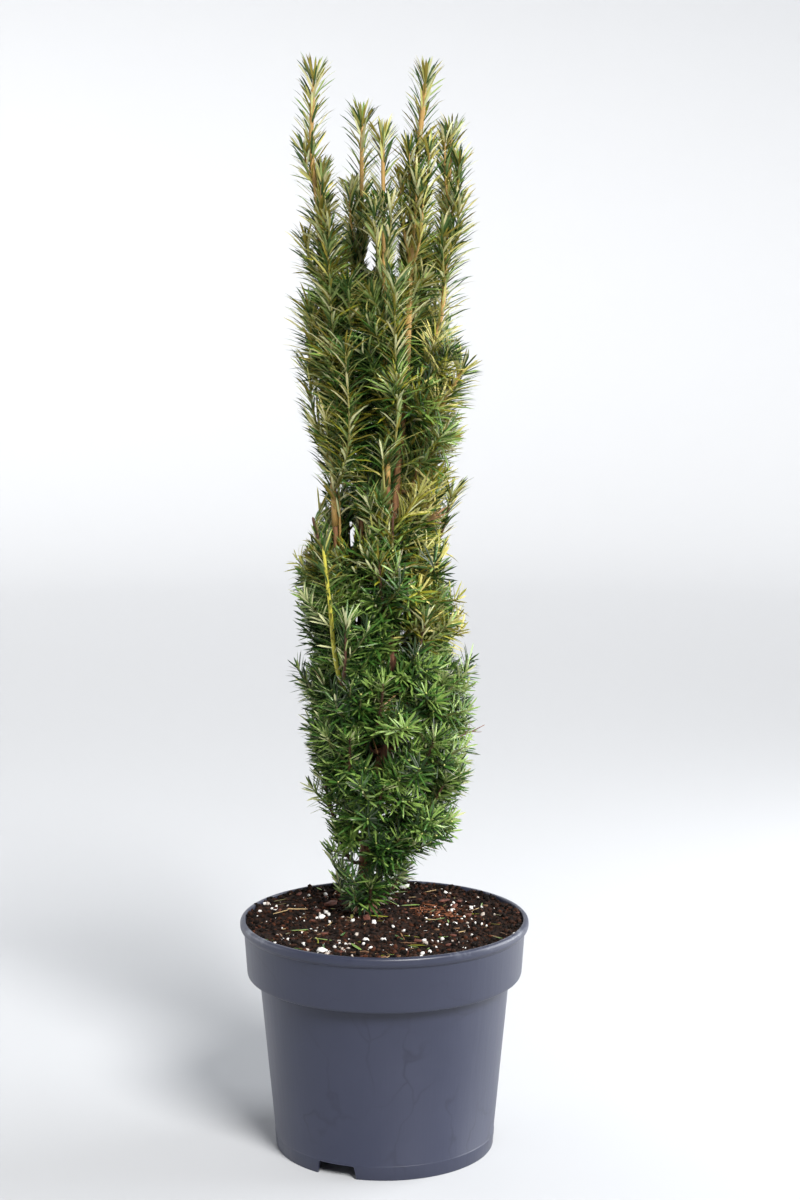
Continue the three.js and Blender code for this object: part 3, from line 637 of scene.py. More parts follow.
class Course:
    """A curve as closely spaced places, read by shares of its length."""

    def __init__(self, places):
        self.places = np.asarray(places, float)
        steps = np.linalg.norm(np.diff(self.places, axis=0), axis=1)
        self.reach = np.concatenate([[0], np.cumsum(steps)])
        self.length = self.reach[-1]

    def at(self, shares):
        """The places at the shares."""
        along = np.asarray(shares, float) * self.length
        return np.stack([np.interp(along, self.reach, self.places[:, k]) for k in range(3)], axis=-1)

    def heading(self, shares):
        """The ways the curve runs at the shares."""
        shares = np.asarray(shares, float)
        step = min(0.02, 0.001 / self.length)
        way = self.at(np.clip(shares + step, 0, 1)) - self.at(np.clip(shares - step, 0, 1))
        return way / np.linalg.norm(way, axis=-1, keepdims=True)

    def stretch(self, start, end):
        """The curve from one share to another."""
        return Course(self.at(np.linspace(start, end, STRETCH_PLACES)))

    def frames(self, shares):
        """Centres, headings and two cross directions at the shares, carried on without twist."""
        centres, headings = self.at(shares), self.heading(shares)
        across = np.zeros_like(headings)
        carried = np.array([0.3, 1, 0.1])
        for number, heading in enumerate(headings):
            carried = carried - heading * carried.dot(heading)
            carried = carried / np.linalg.norm(carried)
            across[number] = carried
        return centres, headings, across, np.cross(headings, across)


def smooth_course(points):
    """A centripetal Catmull-Rom curve through the points."""
    points = np.asarray(points, float)
    points = np.vstack([2 * points[0] - points[1], points, 2 * points[-1] - points[-2]])
    places = []
    for a, b, c, d in zip(points, points[1:], points[2:], points[3:]):
        da, db, dc = (math.sqrt(np.linalg.norm(q - p)) for p, q in ((a, b), (b, c), (c, d)))
        leave = ((b - a) / da - (c - a) / (da + db) + (c - b) / db) * db
        arrive = ((c - b) / db - (d - b) / (db + dc) + (d - c) / dc) * db
        t = np.linspace(0, 1, SPAN_PLACES, endpoint=False)[:, None]
        places.append(b + leave * t + (-3 * b + 3 * c - 2 * leave - arrive) * t ** 2
                      + (2 * b - 2 * c + leave + arrive) * t ** 3)
    return Course(np.vstack([*places, points[-2:-1]]))


def bent_course(start, bend, tip):
    """A curve from start to tip, drawn towards the bend."""
    t = np.linspace(0, 1, BEND_PLACES)[:, None]
    return Course((1 - t) ** 2 * start + 2 * t * (1 - t) * bend + t ** 2 * tip)


def share_at(course, height):
    """The share of a course at which it first reaches a height."""
    shares = np.linspace(0, 1, HEIGHT_PLACES)
    return shares[np.argmax(course.at(shares)[:, 2] >= height)]


def square_out(heading, way):
    """The level direction of a way, square to a limb's heading."""
    level = np.array([way[0], way[1], 0])
    level = level - heading * level.dot(heading)
    return level / np.linalg.norm(level)


def make_limb(name, whole, end, radius_of):
    """A limb with its centres, headings and radii at even shares."""
    course = whole.stretch(0, end)
    shares = np.linspace(0, 1, LIMB_SAMPLES)
    return {"name": name, "whole": whole, "end": end, "course": course, "radius_of": radius_of,
            "centres": course.at(shares), "headings": course.heading(shares),
            "radii": np.array([radius_of(share) for share in shares])}


def make_trunk():
    """The trunk, from its flared foot to its fork."""
    whole = smooth_course(TRUNK["course"])
    end = share_at(whole, TRUNK["fork"])
    length = whole.length * end

    def radius_of(share):
        taper = between((TRUNK["base"], TRUNK["tip"]), share ** TRUNK["taper"])
        return taper + TRUNK["flare"] * math.exp(-share * length / TRUNK["flare_height"])
    return make_limb("trunk", whole, end, radius_of)


def make_bough(name, leaves, foliage, radius, course, trunk):
    """A bough that leaves the trunk squarely at a height and ends where its foliage starts."""
    host = np.argmin(np.abs(trunk["centres"][:, 2] - leaves))
    centre, heading = trunk["centres"][host], trunk["headings"][host]
    out = square_out(heading, np.array(course[0]) - centre)
    start = centre + out * (trunk["radii"][host] + GAP)
    whole = smooth_course([start, start + out * COLLAR, *course])
    radii = (radius, max(LIMB_TIP, radius * LIMB_TIP_SHARE))
    return make_limb(f"bough_{name}", whole, share_at(whole, foliage), lambda share: between(radii, share))


trunk = make_trunk()
boughs = [make_bough(name, leaves, foliage, radius, course, trunk)
          for name, (leaves, foliage, radius, _, course) in LEADERS.items()]
limbs = [trunk, *boughs]


def tube_blank(sides, steps):
    """An upright tube of unit radius and height, closed at both ends, to be drawn along a course."""
    blank = bmesh.new()
    bmesh.ops.create_circle(blank, cap_ends=True, radius=1, segments=sides)
    cap = list(blank.faces)
    for step in range(steps):
        grown = bmesh.ops.extrude_face_region(blank, geom=cap)["geom"]
        if step > 0:
            bmesh.ops.delete(blank, geom=[face for face in cap if face.is_valid], context="FACES_ONLY")
        cap = [part for part in grown if isinstance(part, bmesh.types.BMFace)]
        rising = [part for part in grown if isinstance(part, bmesh.types.BMVert)]
        bmesh.ops.translate(blank, verts=rising, vec=(0, 0, 1 / steps))
    bmesh.ops.recalc_face_normals(blank, faces=blank.faces)
    return blank


def drawn_along(points, course, radii):
    """A tube blank's corners, laid along a course with the radius of each of its rings."""
    shares = np.linspace(0, 1, len(radii))
    centres, _, across, aside = course.frames(shares)
    ring = np.rint(points[:, 2] * (len(radii) - 1)).astype(int)
    spread = points[:, :1] * aside[ring] + points[:, 1:2] * across[ring]
    return centres[ring] + spread * radii[ring][:, None]


BARK_RING = 0.0013
BARK_RELIEF = 0.00042
FULL_RELIEF = 0.005
BARK_SEAT = 0.0015
BARK_SIDES = {"trunk": 28, "bough": 18}
TRUNK_SET = 0.004
GREEN_WOOD = 0.43
# The bark's strips and flakes: how often they come round a limb and up a metre, how far apart the limbs'
# patterns are, and how deep they go.
STRIPS = {"round": 2.2, "upward": 60, "apart": 9, "depth": 0.9}
FLAKES = {"round": 5, "upward": 240, "apart": 5, "depth": 0.5}


def bark_place(pattern, turn, height, number):
    """Where a place on a limb falls in a bark pattern."""
    often = pattern["round"]
    return (math.cos(turn) * often + number * pattern["apart"], math.sin(turn) * often,
            height * pattern["upward"])


wood_shape = bmesh.new()
for number, limb in enumerate(limbs):
    course = limb["course"]
    steps = int(course.length / BARK_RING)
    blank = tube_blank(BARK_SIDES[limb["name"].split("_")[0]], steps)
    points = corners_of(blank)
    shares = np.linspace(0, 1, steps + 1)
    radii = np.array([limb["radius_of"](share) for share in shares])
    seated = course if limb is trunk else Course(
        np.vstack([course.places[0] * 2 - course.at(BARK_SEAT / course.length), course.places]))
    corners = drawn_along(points, seated, radii)
    angle = np.arctan2(points[:, 1], points[:, 0])
    ring = np.rint(points[:, 2] * steps).astype(int)
    rise = shares[ring] * course.length
    for vertex, turn, height, thick, corner in zip(blank.verts, angle, rise, radii[ring], corners):
        strip = noise.fractal(bark_place(STRIPS, turn, height, number), 1, 2.1, 3)
        flake = noise.noise(bark_place(FLAKES, turn, height, number))
        relief = BARK_RELIEF * min(1, thick / FULL_RELIEF) * (
            STRIPS["depth"] * strip + FLAKES["depth"] * flake)
        out = Vector(corner) - Vector(seated.at(vertex.co.z))
        vertex.co = Vector(corner) + out.normalized() * relief if out.length > 1e-6 else Vector(corner)
    if limb is trunk:
        for vertex in blank.verts:
            vertex.co.z = max(vertex.co.z, TRUNK_FOOT - TRUNK_SET)
    bmesh.ops.recalc_face_normals(blank, faces=blank.faces)
    if limb["name"] == "bough_front_left":
        for face in blank.faces:
            face.material_index = int(face.calc_center_median().z > GREEN_WOOD)
    part = bpy.data.meshes.new("part")
    blank.to_mesh(part)
    wood_shape.from_mesh(part)
    bpy.data.meshes.remove(part)
    blank.free()
wood = to_object("bark", wood_shape)
smooth(wood)

OLD_BARK = ((0.060, 0.024, 0.014), (0.270, 0.120, 0.065))
YOUNG_BARK = ((0.16, 0.070, 0.028), (0.36, 0.185, 0.070))
bark, tree, shader = new_material("flaking_bark", Roughness=0.82)
here = add_node(tree, "ShaderNodeTexCoord").outputs["Object"]
height = add_node(tree, "ShaderNodeSeparateXYZ", {"Vector": here}).outputs["Z"]
old, young = [mottled(tree, dark, light, 420, stretch=(1, 1, 0.22), contrast=3.4)
              for dark, light in (OLD_BARK, YOUNG_BARK)]
wire(tree, shader, {"Base Color": mix(tree, ramp(tree, height, 0.50, 0.72), old["Color"], young["Color"]),
                    "Normal": bump(tree, old["Grain"], strength=0.7, depth=0.0005)})
wood.data.materials.append(bark)
wood.data.materials.append(
    mottled_material("green_wood", (0.42, 0.39, 0.05), (0.54, 0.49, 0.08), 300, 0.0002, 0.5))
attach(wood, "root")
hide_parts(*(limb["name"] for limb in limbs))

# ---------------------------------------------------------------- shoots: how the crown grows
# Leaders go on from the boughs' ends, sprays stand round the wood in tiers, and side twigs leave both at
# a golden angle. They keep to the room of their own mass, as the solids do, and carry finer twiglets.

# The tiers of sprays: their height, how many they have, the first one's bearing and how far they rise.
TIERS = ((0.238, 3, 150, 0.026), (0.268, 4, 15, 0.044), (0.312, 5, 50, 0.054), (0.356, 5, 22, 0.058),
         (0.408, 6, 30, 0.060), (0.466, 5, 26, 0.064), (0.524, 5, 54, 0.064), (0.582, 4, 10, 0.060))
SPRAY = {"radius": 0.0018, "reach": 0.74, "least": 0.026, "droop": 0.65, "bare": 0.012, "host": 0.012}
# The crown's left and right edge, by height.
CROWN_EDGE = np.array([
    (0.232, -0.052, 0.020), (0.266, -0.060, 0.034), (0.300, -0.062, 0.064), (0.350, -0.076, 0.082),
    (0.407, -0.090, 0.100), (0.480, -0.092, 0.088), (0.560, -0.094, 0.080), (0.620, -0.080, 0.074),
    (0.690, -0.080, 0.084), (0.750, -0.096, 0.096), (0.830, -0.094, 0.084), (0.920, -0.090, 0.086),
    (1.000, -0.092, 0.084), (1.070, -0.092, 0.066)])
# Where the dense foliage ends: within the crown's edge, which only single needle tips reach.
LEAF_EDGE = np.array([
    (0.232, -0.040, 0.026), (0.280, -0.048, 0.062), (0.330, -0.064, 0.080), (0.400, -0.080, 0.092),
    (0.465, -0.084, 0.083), (0.510, -0.077, 0.073), (0.560, -0.091, 0.066), (0.600, -0.073, 0.056),
    (0.640, -0.057, 0.062), (0.690, -0.066, 0.077), (0.740, -0.085, 0.086), (0.770, -0.089, 0.084),
    (0.820, -0.084, 0.080), (0.880, -0.088, 0.086), (0.960, -0.088, 0.085), (1.010, -0.086, 0.084),
    (1.070, -0.084, 0.060)])
CROWN_CENTRE = 0.034
SOIL_CLEARANCE = 0.226
MAIN_BARE = 0.060
LEADER_TWIGS = (0.042, 0.056)
SPRAY_TWIGS = (0.024, 0.056)
TWIG = {"angle": 46, "wander": 0.5, "bend": 0.55, "onward": 0.3, "upward": 0.25, "lowest": 0.08, "from": 0.8,
        "spread": 0.4, "margin": 0.002, "enough": 0.7, "shortest": 0.018,
        "turns": [sixth * math.pi / 3 for sixth in (0, 1, -1, 2, -2, 3)], "looks": np.linspace(0.2, 1, 9)}
# Ranks of shoots: the stem of a mass, its side twigs, the smallest shoots, and long upright ones.
AXIS, SIDE, SMALL, LONG = range(4)
SHOOT_RADIUS = {SIDE: 0.0013, SMALL: 0.0009, LONG: 0.0013}
PATH_STEP = 0.008


def stream(seed):
    """Repeatable numbers from 0 to 1: the same seed always grows the same twig."""
    state, full = seed, 0xFFFFFFFF
    while True:
        state = (state + 0x6D2B79F5) & full
        mixed = (state ^ (state >> 15)) * (1 | state) & full
        mixed = (mixed + ((mixed ^ (mixed >> 7)) * (61 | mixed) & full) ^ mixed) & full
        yield (mixed ^ (mixed >> 14)) / 2 ** 32


def crown_at(heights, edge=CROWN_EDGE):
    """The crown's middle across and its half width, at each height."""
    left = np.interp(heights, edge[:, 0], edge[:, 1])
    right = np.interp(heights, edge[:, 0], edge[:, 2])
    return (left + right) / 2, (right - left) / 2


def level_way(bearing):
    """The level direction at a bearing."""
    return np.array([math.cos(bearing), math.sin(bearing), 0])


def leader_stem(limb, name, bare):
    """A leader's stem: it goes on from its limb's end, across a gap."""
    whole = limb["whole"]
    course = whole.stretch(limb["end"] + GAP / whole.length, 1)
    return {"name": name, "course": course, "host": limb, "bare": bare, "twigs": LEADER_TWIGS,
            "radius": limb["radius_of"](1), "leader": True}


def spray_stem(name, height, rise, bearing):
    """A spray's stem: it leaves the limb that stands furthest out at its bearing, and bends up."""
    out = level_way(math.radians(bearing))
    hosts = []
    for limb in limbs:
        at = np.argmin(np.abs(limb["centres"][:, 2] - height))
        if abs(limb["centres"][at, 2] - height) < SPRAY["host"]:
            hosts.append((limb["centres"][at].dot(out), -len(hosts), limb, at))
    _, _, limb, at = max(hosts)
    centre, heading = limb["centres"][at], limb["headings"][at]
    middle, half = crown_at(height + rise)
    tip = np.array([middle, CROWN_CENTRE, height + rise]) + out * half * SPRAY["reach"]
    tip = tip + out * max(0, SPRAY["least"] - (tip - centre).dot(out))
    square = square_out(heading, tip - centre)
    start = centre + square * (limb["radii"][at] + GAP)
    bend = start + square * np.linalg.norm((tip - start)[:2]) * SPRAY["droop"]
    return {"name": name, "course": bent_course(start, bend, tip), "host": limb, "bare": SPRAY["bare"],
            "twigs": SPRAY_TWIGS, "radius": SPRAY["radius"], "leader": False}


stems = [leader_stem(trunk, "leader_main", MAIN_BARE)]
stems += [leader_stem(bough, f"leader_{name}", LEADERS[name][3]) for name, bough in zip(LEADERS, boughs)]
stems += [spray_stem(f"spray_{level + 1}_{number + 1}", height, rise, bearing + 360 / count * number)
          for level, (height, count, bearing, rise) in enumerate(TIERS) for number in range(count)]
for number, stem in enumerate(stems):
    stem["seed"] = number + 1
    stem["path"] = stem["course"].at(np.linspace(0, 1, math.ceil(stem["course"].length / PATH_STEP) + 1))
stem_numbers = {stem["name"]: number for number, stem in enumerate(stems)}

stem_starts = np.vstack([stem["path"][:-1] for stem in stems])
stem_ways = np.vstack([np.diff(stem["path"], axis=0) for stem in stems])
stem_splits = np.cumsum([0] + [len(stem["path"]) - 1 for stem in stems[:-1]])
limb_centres = np.vstack([limb["centres"] for limb in limbs])
limb_radii = np.concatenate([limb["radii"] for limb in limbs])
limb_owner = np.repeat(np.arange(len(limbs)), LIMB_SAMPLES)
limb_numbers = {limb["name"]: number for number, limb in enumerate(limbs)}


def distances_to_stems(places):
    """The distance from each place to each stem."""
    away = places[:, None] - stem_starts
    share = np.clip((away * stem_ways).sum(2) / (stem_ways ** 2).sum(1), 0, 1)
    gaps = np.linalg.norm(away - share[..., None] * stem_ways, axis=2)
    return np.minimum.reduceat(gaps, stem_splits, axis=1)


def reach_out(places, edge=CROWN_EDGE):
    """How far out places lie: 0 in the crown's middle, 1 at its edge, squared."""
    middle, half = crown_at(places[:, 2], edge)
    return ((places[:, 0] - middle) / half) ** 2 + ((places[:, 1] - CROWN_CENTRE) / half) ** 2


def inside_crown(places, ease=1.0, edge=CROWN_EDGE):
    """Which places lie above the soil and within an edge, eased out or drawn in."""
    return (reach_out(places, edge) <= ease) & (places[:, 2] >= SOIL_CLEARANCE)


def off_the_wood(places, margin):
    """Whether each place keeps its margin from each place on each limb."""
    return np.linalg.norm(places[:, None] - limb_centres, axis=2) > limb_radii + margin


def is_free(places, number, margin):
    """Which places lie in a mass's own room, inside the crown, above the soil and clear of the wood."""
    stem = stems[number]
    gaps = distances_to_stems(places)
    own = gaps[:, number] + margin * 2
    gaps[:, number] = np.inf
    clear = off_the_wood(places, margin)
    if stem["leader"]:
        clear |= limb_owner == limb_numbers[stem["host"]["name"]]
    return inside_crown(places) & (gaps.min(1) >= own) & clear.all(1)


# How far a leader's finer twigs may stand from it, by height: the tops of the leaders are slim columns.
COLUMN = np.array([(0.60, 0.080), (0.74, 0.040), (0.80, 0.024), (0.86, 0.013), (0.92, 0.008), (1.06, 0.004)])
# How near the foliage's edge a finer twig may end, as a share of the ellipse's squared reach.
TWIG_ROOM = (0.42, 0.85)
# The long shoot at the front left stands free: its way up, and how near it the others may come.
LONG_SHOOT = np.array([(-0.0375, -0.010, 0.458), *LEADERS["front_left"][4][1:]])
LONG_SHOOT_ROOM = {"aside": 0.0035, "behind": 0.003, "below": 0.01}
# Openings in the foliage, as they show from the front: across, height, half width, half height, and how far
# back they are kept open. The first ones go right through, and the others stop at the wood that they show.
SIGHT = CAMERA_PLACE
OPENINGS = np.array([
    (-0.013, 0.879, 0.006, 0.017, 1), (0.012, 0.876, 0.0045, 0.022, 1), (-0.033, 0.607, 0.006, 0.013, 1),
    (-0.066, 0.735, 0.003, 0.016, 1), (-0.092, 0.664, 0.029, 0.066, 1), (-0.026, 0.520, 0.004, 0.006, 1),
    (-0.010, 0.640, 0.003, 0.006, 1), (0.0115, 0.638, 0.0075, 0.018, 0.018),
    (0.0085, 0.478, 0.0035, 0.011, 0.020), (-0.050, 0.612, 0.005, 0.017, 0.012),
    (-0.021, 0.612, 0.005, 0.012, 0.034), (-0.001, 0.955, 0.0030, 0.016, 0.002),
    (-0.0005, 0.866, 0.0035, 0.046, 0.002), (-0.066, 0.950, 0.0030, 0.030, 0.019),
    (-0.0225, 0.955, 0.0028, 0.018, 0.054), (0.0385, 1.003, 0.0028, 0.014, 0.024),
    (0.0265, 0.880, 0.0028, 0.034, 0.024), (0.0185, 0.720, 0.0026, 0.040, 0.024),
    (0.0235, 0.800, 0.0026, 0.040, 0.024), (0.0645, 0.966, 0.0025, 0.012, 0.044)])
# Wood that the key light reaches through the foliage: a place on it, and the half width of the light's way.
LIT_WOOD = np.array([(0.011, 0.021, 0.635, 0.010), (0.008, 0.022, 0.478, 0.005),
                     (-0.047, 0.017, 0.612, 0.007), (-0.023, 0.038, 0.612, 0.006)])
SUN_WAY = np.array(LAMPS[0][2]) - LAMPS[0][3]
SUN_WAY /= np.linalg.norm(SUN_WAY)


def in_the_light(number, room):
    """A test of which places are open to finer twigs of a stem: inside the crown, clear of the wood, and
    close to their own leader near its top. The room varies, so the crown's edge is uneven."""
    def is_open(places):
        near = True
        if number is not None and stems[number]["leader"]:
            near = distances_to_stems(places)[:, number] <= np.interp(places[:, 2], *COLUMN.T)
        return (inside_crown(places, room, LEAF_EDGE) & off_the_wood(places, TWIG["margin"]).all(1) & near
                & ~before_the_long_shoot(places) & ~in_an_opening(places) & ~shades_the_wood(places))
    return is_open


def shades_the_wood(places):
    """Which places would keep the light from wood that shows."""
    away = places[:, None] - LIT_WOOD[:, :3]
    along = away @ SUN_WAY
    aside = np.linalg.norm(away - along[..., None] * SUN_WAY, axis=2)
    return ((along > 0) & (aside < LIT_WOOD[:, 3])).any(1)


def in_an_opening(places):
    """Which places would close an opening, seen along lines that meet in front of the plant."""
    scale = (SIGHT[1] - CROWN_CENTRE) / (SIGHT[1] - places[:, 1])
    across = SIGHT[0] + (places[:, 0] - SIGHT[0]) * scale
    height = SIGHT[2] + (places[:, 2] - SIGHT[2]) * scale
    x, z, half_width, half_height, back = OPENINGS.T
    inside = ((across[:, None] - x) / half_width) ** 2 + ((height[:, None] - z) / half_height) ** 2 < 1
    return (inside & (places[:, 1:2] < back)).any(1)


def before_the_long_shoot(places):
    """Which places crowd the long shoot at the front left, or hide it: it stands free of the rest."""
    axis = np.interp(places[:, 2], LONG_SHOOT[:, 2], LONG_SHOOT[:, 0])
    depth = np.interp(places[:, 2], LONG_SHOOT[:, 2], LONG_SHOOT[:, 1])
    top = LONG_SHOOT[-1, 2] - LONG_SHOOT_ROOM["below"]
    level = (places[:, 2] > LONG_SHOOT[0, 2]) & (places[:, 2] < top)
    return (level & (np.abs(places[:, 0] - axis) < LONG_SHOOT_ROOM["aside"])
            & (places[:, 1] < depth + LONG_SHOOT_ROOM["behind"]))


def open_share(course, shares, is_open):
    """The last of the shares up to which a course has room, 1 if it has room all along, or else 0."""
    free = is_open(course.at(shares))
    return 1 if free.all() else (shares[np.argmin(free) - 1] if free[0] else 0)


def side_twig(origin, angle, reach, lean, is_open):
    """A twig that leaves an axis at an angle and bends up, cut short where its room ends."""
    centre, heading, across, aside = origin
    out = across * math.cos(angle) + aside * math.sin(angle)
    way = heading * math.cos(math.radians(lean)) + out * math.sin(math.radians(lean))
    bend = centre + way * reach * TWIG["bend"]
    tip = bend + way * reach * TWIG["onward"] + heading * reach * TWIG["upward"]
    whole = bent_course(centre, bend, tip)
    end = open_share(whole, TWIG["looks"], is_open)
    return whole.stretch(0, end) if end > 0 else None


def best_twig(origin, angle, reach, lean, is_open, shortest):
    """The first twig, turned on round its axis, that has room for most of its reach, or else the longest."""
    best = None
    for turn in TWIG["turns"]:
        twig = side_twig(origin, angle + turn, reach, lean, is_open)
        if twig and (best is None or twig.length > best.length):
            best = twig
        if best and best.length > TWIG["enough"] * reach:
            break
    return best if best and best.length >= shortest else None


# How far the finer twigs lean off their stems, by height.
STEEPNESS = np.array([(0.45, 52), (0.62, 32), (0.80, 26), (1.06, 22)])
TWIG_SEEDS = 1000


def side_twigs(number, offset, reach_share, seed_shift, is_open=None):
    """Side twigs of a stem, each a golden angle round from the last. The first ones keep to the stem's own
    room and spread as its solid's do. Those in between are finer, and stand steeper high in the crown."""
    stem = stems[number]
    step, reach_whole = stem["twigs"]
    course, seed = stem["course"], stem["seed"]
    count = max(0, math.floor((course.length - stem["bare"]) / step))
    if not count:
        return []
    inner = (np.arange(1, count + 1) + offset) / (count + 1)
    shares = between((TWIG["lowest"], 1 - stem["bare"] / course.length), inner)
    origins = list(zip(*course.frames(np.concatenate([[0], shares]))))[1:]
    twigs = []
    for i, origin in enumerate(origins):
        numbers = stream(seed * TWIG_SEEDS + i + seed_shift)
        angle = seed + (i + offset) * GOLDEN_ANGLE + (next(numbers) - 0.5) * TWIG["wander"]
        reach = reach_whole * (TWIG["from"] + TWIG["spread"] * next(numbers)) * reach_share
        lean = TWIG["angle"] if is_open else np.interp(origin[0][2], *STEEPNESS.T)
        room = is_open or in_the_light(number, between(TWIG_ROOM, next(numbers)))
        twig = best_twig(origin, angle, reach, lean, room, TWIG["shortest"] * reach_share)
        if twig:
            twigs.append({"course": twig, "stem": number})
    return twigs


# Long shoots that rise side by side among the leaders, each from the nearest one: how many, how far out, at
# what height they are dealt out, where they leave, and where they end beside the leader and far from it.
UPRIGHTS = {"count": 50, "out": 0.84, "level": 0.74, "from": (0.545, 0.680), "top": (0.930, 0.800),
            "far": 0.045, "shortest": 0.05, "margin": 0.02, "wander": 0.05, "room": 0.95, "seeds": 70000,
            "bend": (0.9, 0.015), "start": (0.55, 0.45), "lean": 1.04, "looks": np.linspace(0.1, 1, 25)}
# Short shoots that break from the bare wood all the way up, and fill the crown between its sprays.
WOOD_SHOOTS = {"step": 0.0105, "reach": (0.035, 0.075), "from": 0.250, "lean": 62, "wander": 1.3,
               "shortest": 0.016, "seeds": 5000}
# The smallest shoots, near the ends of twigs.
TWIGLETS = {"step": 0.0095, "reach": (0.013, 0.030), "from": 0.25, "to": 0.92, "shortest": 0.008,
            "sparse": 0.62, "outward": 0.7, "seeds": 61}
# Shoots with a place of their own, by their mass and rank: the height at which each leaves its mass's limb,
# and its tip.
SIDE_SHOOTS = {
    ("leader_left", LONG): [
        (0.885, -0.059, 0.008, 0.952), (0.940, -0.075, 0.020, 0.975), (0.850, -0.074, 0.020, 0.888),
        (0.840, -0.052, 0.006, 0.905), (0.755, -0.072, 0.022, 0.826), (0.680, -0.072, 0.024, 0.770),
        (0.660, -0.066, 0.038, 0.760)],
    ("leader_left", SIDE): [
        (0.440, -0.032, -0.004, 0.496), (0.465, -0.034, -0.003, 0.525), (0.495, -0.038, -0.004, 0.552)],
    ("leader_main", LONG): [
        (0.870, 0.016, 0.012, 0.945), (0.895, 0.024, 0.010, 0.975), (0.900, 0.043, 0.014, 0.976),
        (0.860, 0.037, 0.004, 0.930), (0.880, 0.031, 0.004, 0.950)],
    ("leader_middle", LONG): [
        (0.625, -0.001, -0.008, 0.690), (0.860, -0.009, -0.004, 0.918), (0.870, 0.007, -0.005, 0.922)],
    ("leader_middle_left", LONG): [
        (0.865, -0.033, 0.044, 0.935), (0.865, -0.017, 0.044, 0.918)],
    ("leader_right", LONG): [
        (0.925, 0.058, 0.036, 0.985), (0.905, 0.072, 0.040, 0.965), (0.865, 0.072, 0.040, 0.925),
        (0.845, 0.056, 0.030, 0.900)],
    ("leader_front_left", SMALL): [
        (0.447, -0.032, -0.038, 0.468), (0.425, -0.047, -0.032, 0.452), (0.430, -0.022, -0.034, 0.458)],
}
FOOT_SHOOTS = {
    ("spray_1_1", SMALL): [
        (0.234, -0.046, 0.018, 0.262), (0.246, -0.053, 0.024, 0.290), (0.240, -0.040, 0.004, 0.276)],
    ("spray_1_2", SMALL): [
        (0.232, -0.030, -0.002, 0.256), (0.238, -0.012, 0.004, 0.262)],
}
PLACED_RADIUS = 0.0016


def wood_shoots(limb, limb_number):
    """Shoots of old wood: they leave a limb outwards, towards the nearest light."""
    course = limb["course"]
    count = int(course.length / WOOD_SHOOTS["step"])
    origins = zip(*course.frames((np.arange(count) + 0.5) / count))
    grown = []
    for i, origin in enumerate(origins):
        centre, _, across, aside = origin
        if centre[2] < WOOD_SHOOTS["from"]:
            continue
        numbers = stream(limb_number * WOOD_SHOOTS["seeds"] + i)
        middle, _ = crown_at(centre[2])
        outward = centre[:2] - (middle, CROWN_CENTRE)
        bearing = math.atan2(outward[1], outward[0]) + (next(numbers) - 0.5) * 2 * WOOD_SHOOTS["wander"]
        way = level_way(bearing)
        angle = math.atan2(way.dot(aside), way.dot(across))
        reach = between(WOOD_SHOOTS["reach"], next(numbers))
        room = in_the_light(None, between(TWIG_ROOM, next(numbers)))
        twig = best_twig(origin, angle, reach, WOOD_SHOOTS["lean"], room, WOOD_SHOOTS["shortest"])
        if twig:
            nearest = int(distances_to_stems(twig.at([1.0])).argmin())
            grown.append({"course": twig, "stem": nearest})
    return grown


def uprights():
    """The long shoots among the leaders: each bends out from its leader, then rises beside it."""
    leaders = [number for number, stem in enumerate(stems)
               if stem["leader"] and stem["name"] != "leader_front_left"]
    middle, half = crown_at(UPRIGHTS["level"], LEAF_EDGE)
    grown = []
    for i in range(UPRIGHTS["count"]):
        numbers = stream(UPRIGHTS["seeds"] + i)
        out = math.sqrt((i + 0.5) / UPRIGHTS["count"]) * UPRIGHTS["out"] * half
        place = np.array([middle + out * math.cos(i * GOLDEN_ANGLE),
                          CROWN_CENTRE + out * math.sin(i * GOLDEN_ANGLE), UPRIGHTS["level"]])
        number = leaders[int(distances_to_stems(place[None])[0][leaders].argmin())]
        whole = stems[number]["host"]["whole"]
        heights = whole.places[:, 2]
        leaves = max(between(UPRIGHTS["from"], next(numbers)), heights[0] + UPRIGHTS["margin"])

        def axis(height):
            return np.array([*whole.at(share_at(whole, height))[:2], height])
        away = (place - axis(place[2])) * (1, 1, 0)
        distance = np.linalg.norm(away)
        top = np.interp(distance, (0, UPRIGHTS["far"]), UPRIGHTS["top"])
        top = min(top + (next(numbers) - 0.5) * UPRIGHTS["wander"], heights[-1] - UPRIGHTS["margin"])
        bend = leaves + distance * UPRIGHTS["bend"][0] + UPRIGHTS["bend"][1]
        if top - bend < UPRIGHTS["shortest"]:
            continue
        outward, upward = UPRIGHTS["start"]
        start = axis(leaves) + away * outward + np.array([0, 0, (bend - leaves) * upward])
        course = smooth_course([axis(leaves), start, axis(bend) + away,
                                axis((bend + top) / 2) + away * UPRIGHTS["lean"], axis(top) + away])
        end = open_share(course, UPRIGHTS["looks"], in_the_light(None, UPRIGHTS["room"]))
        if end * course.length > UPRIGHTS["shortest"]:
            grown.append({"course": course.stretch(0, end), "stem": number})
    return grown


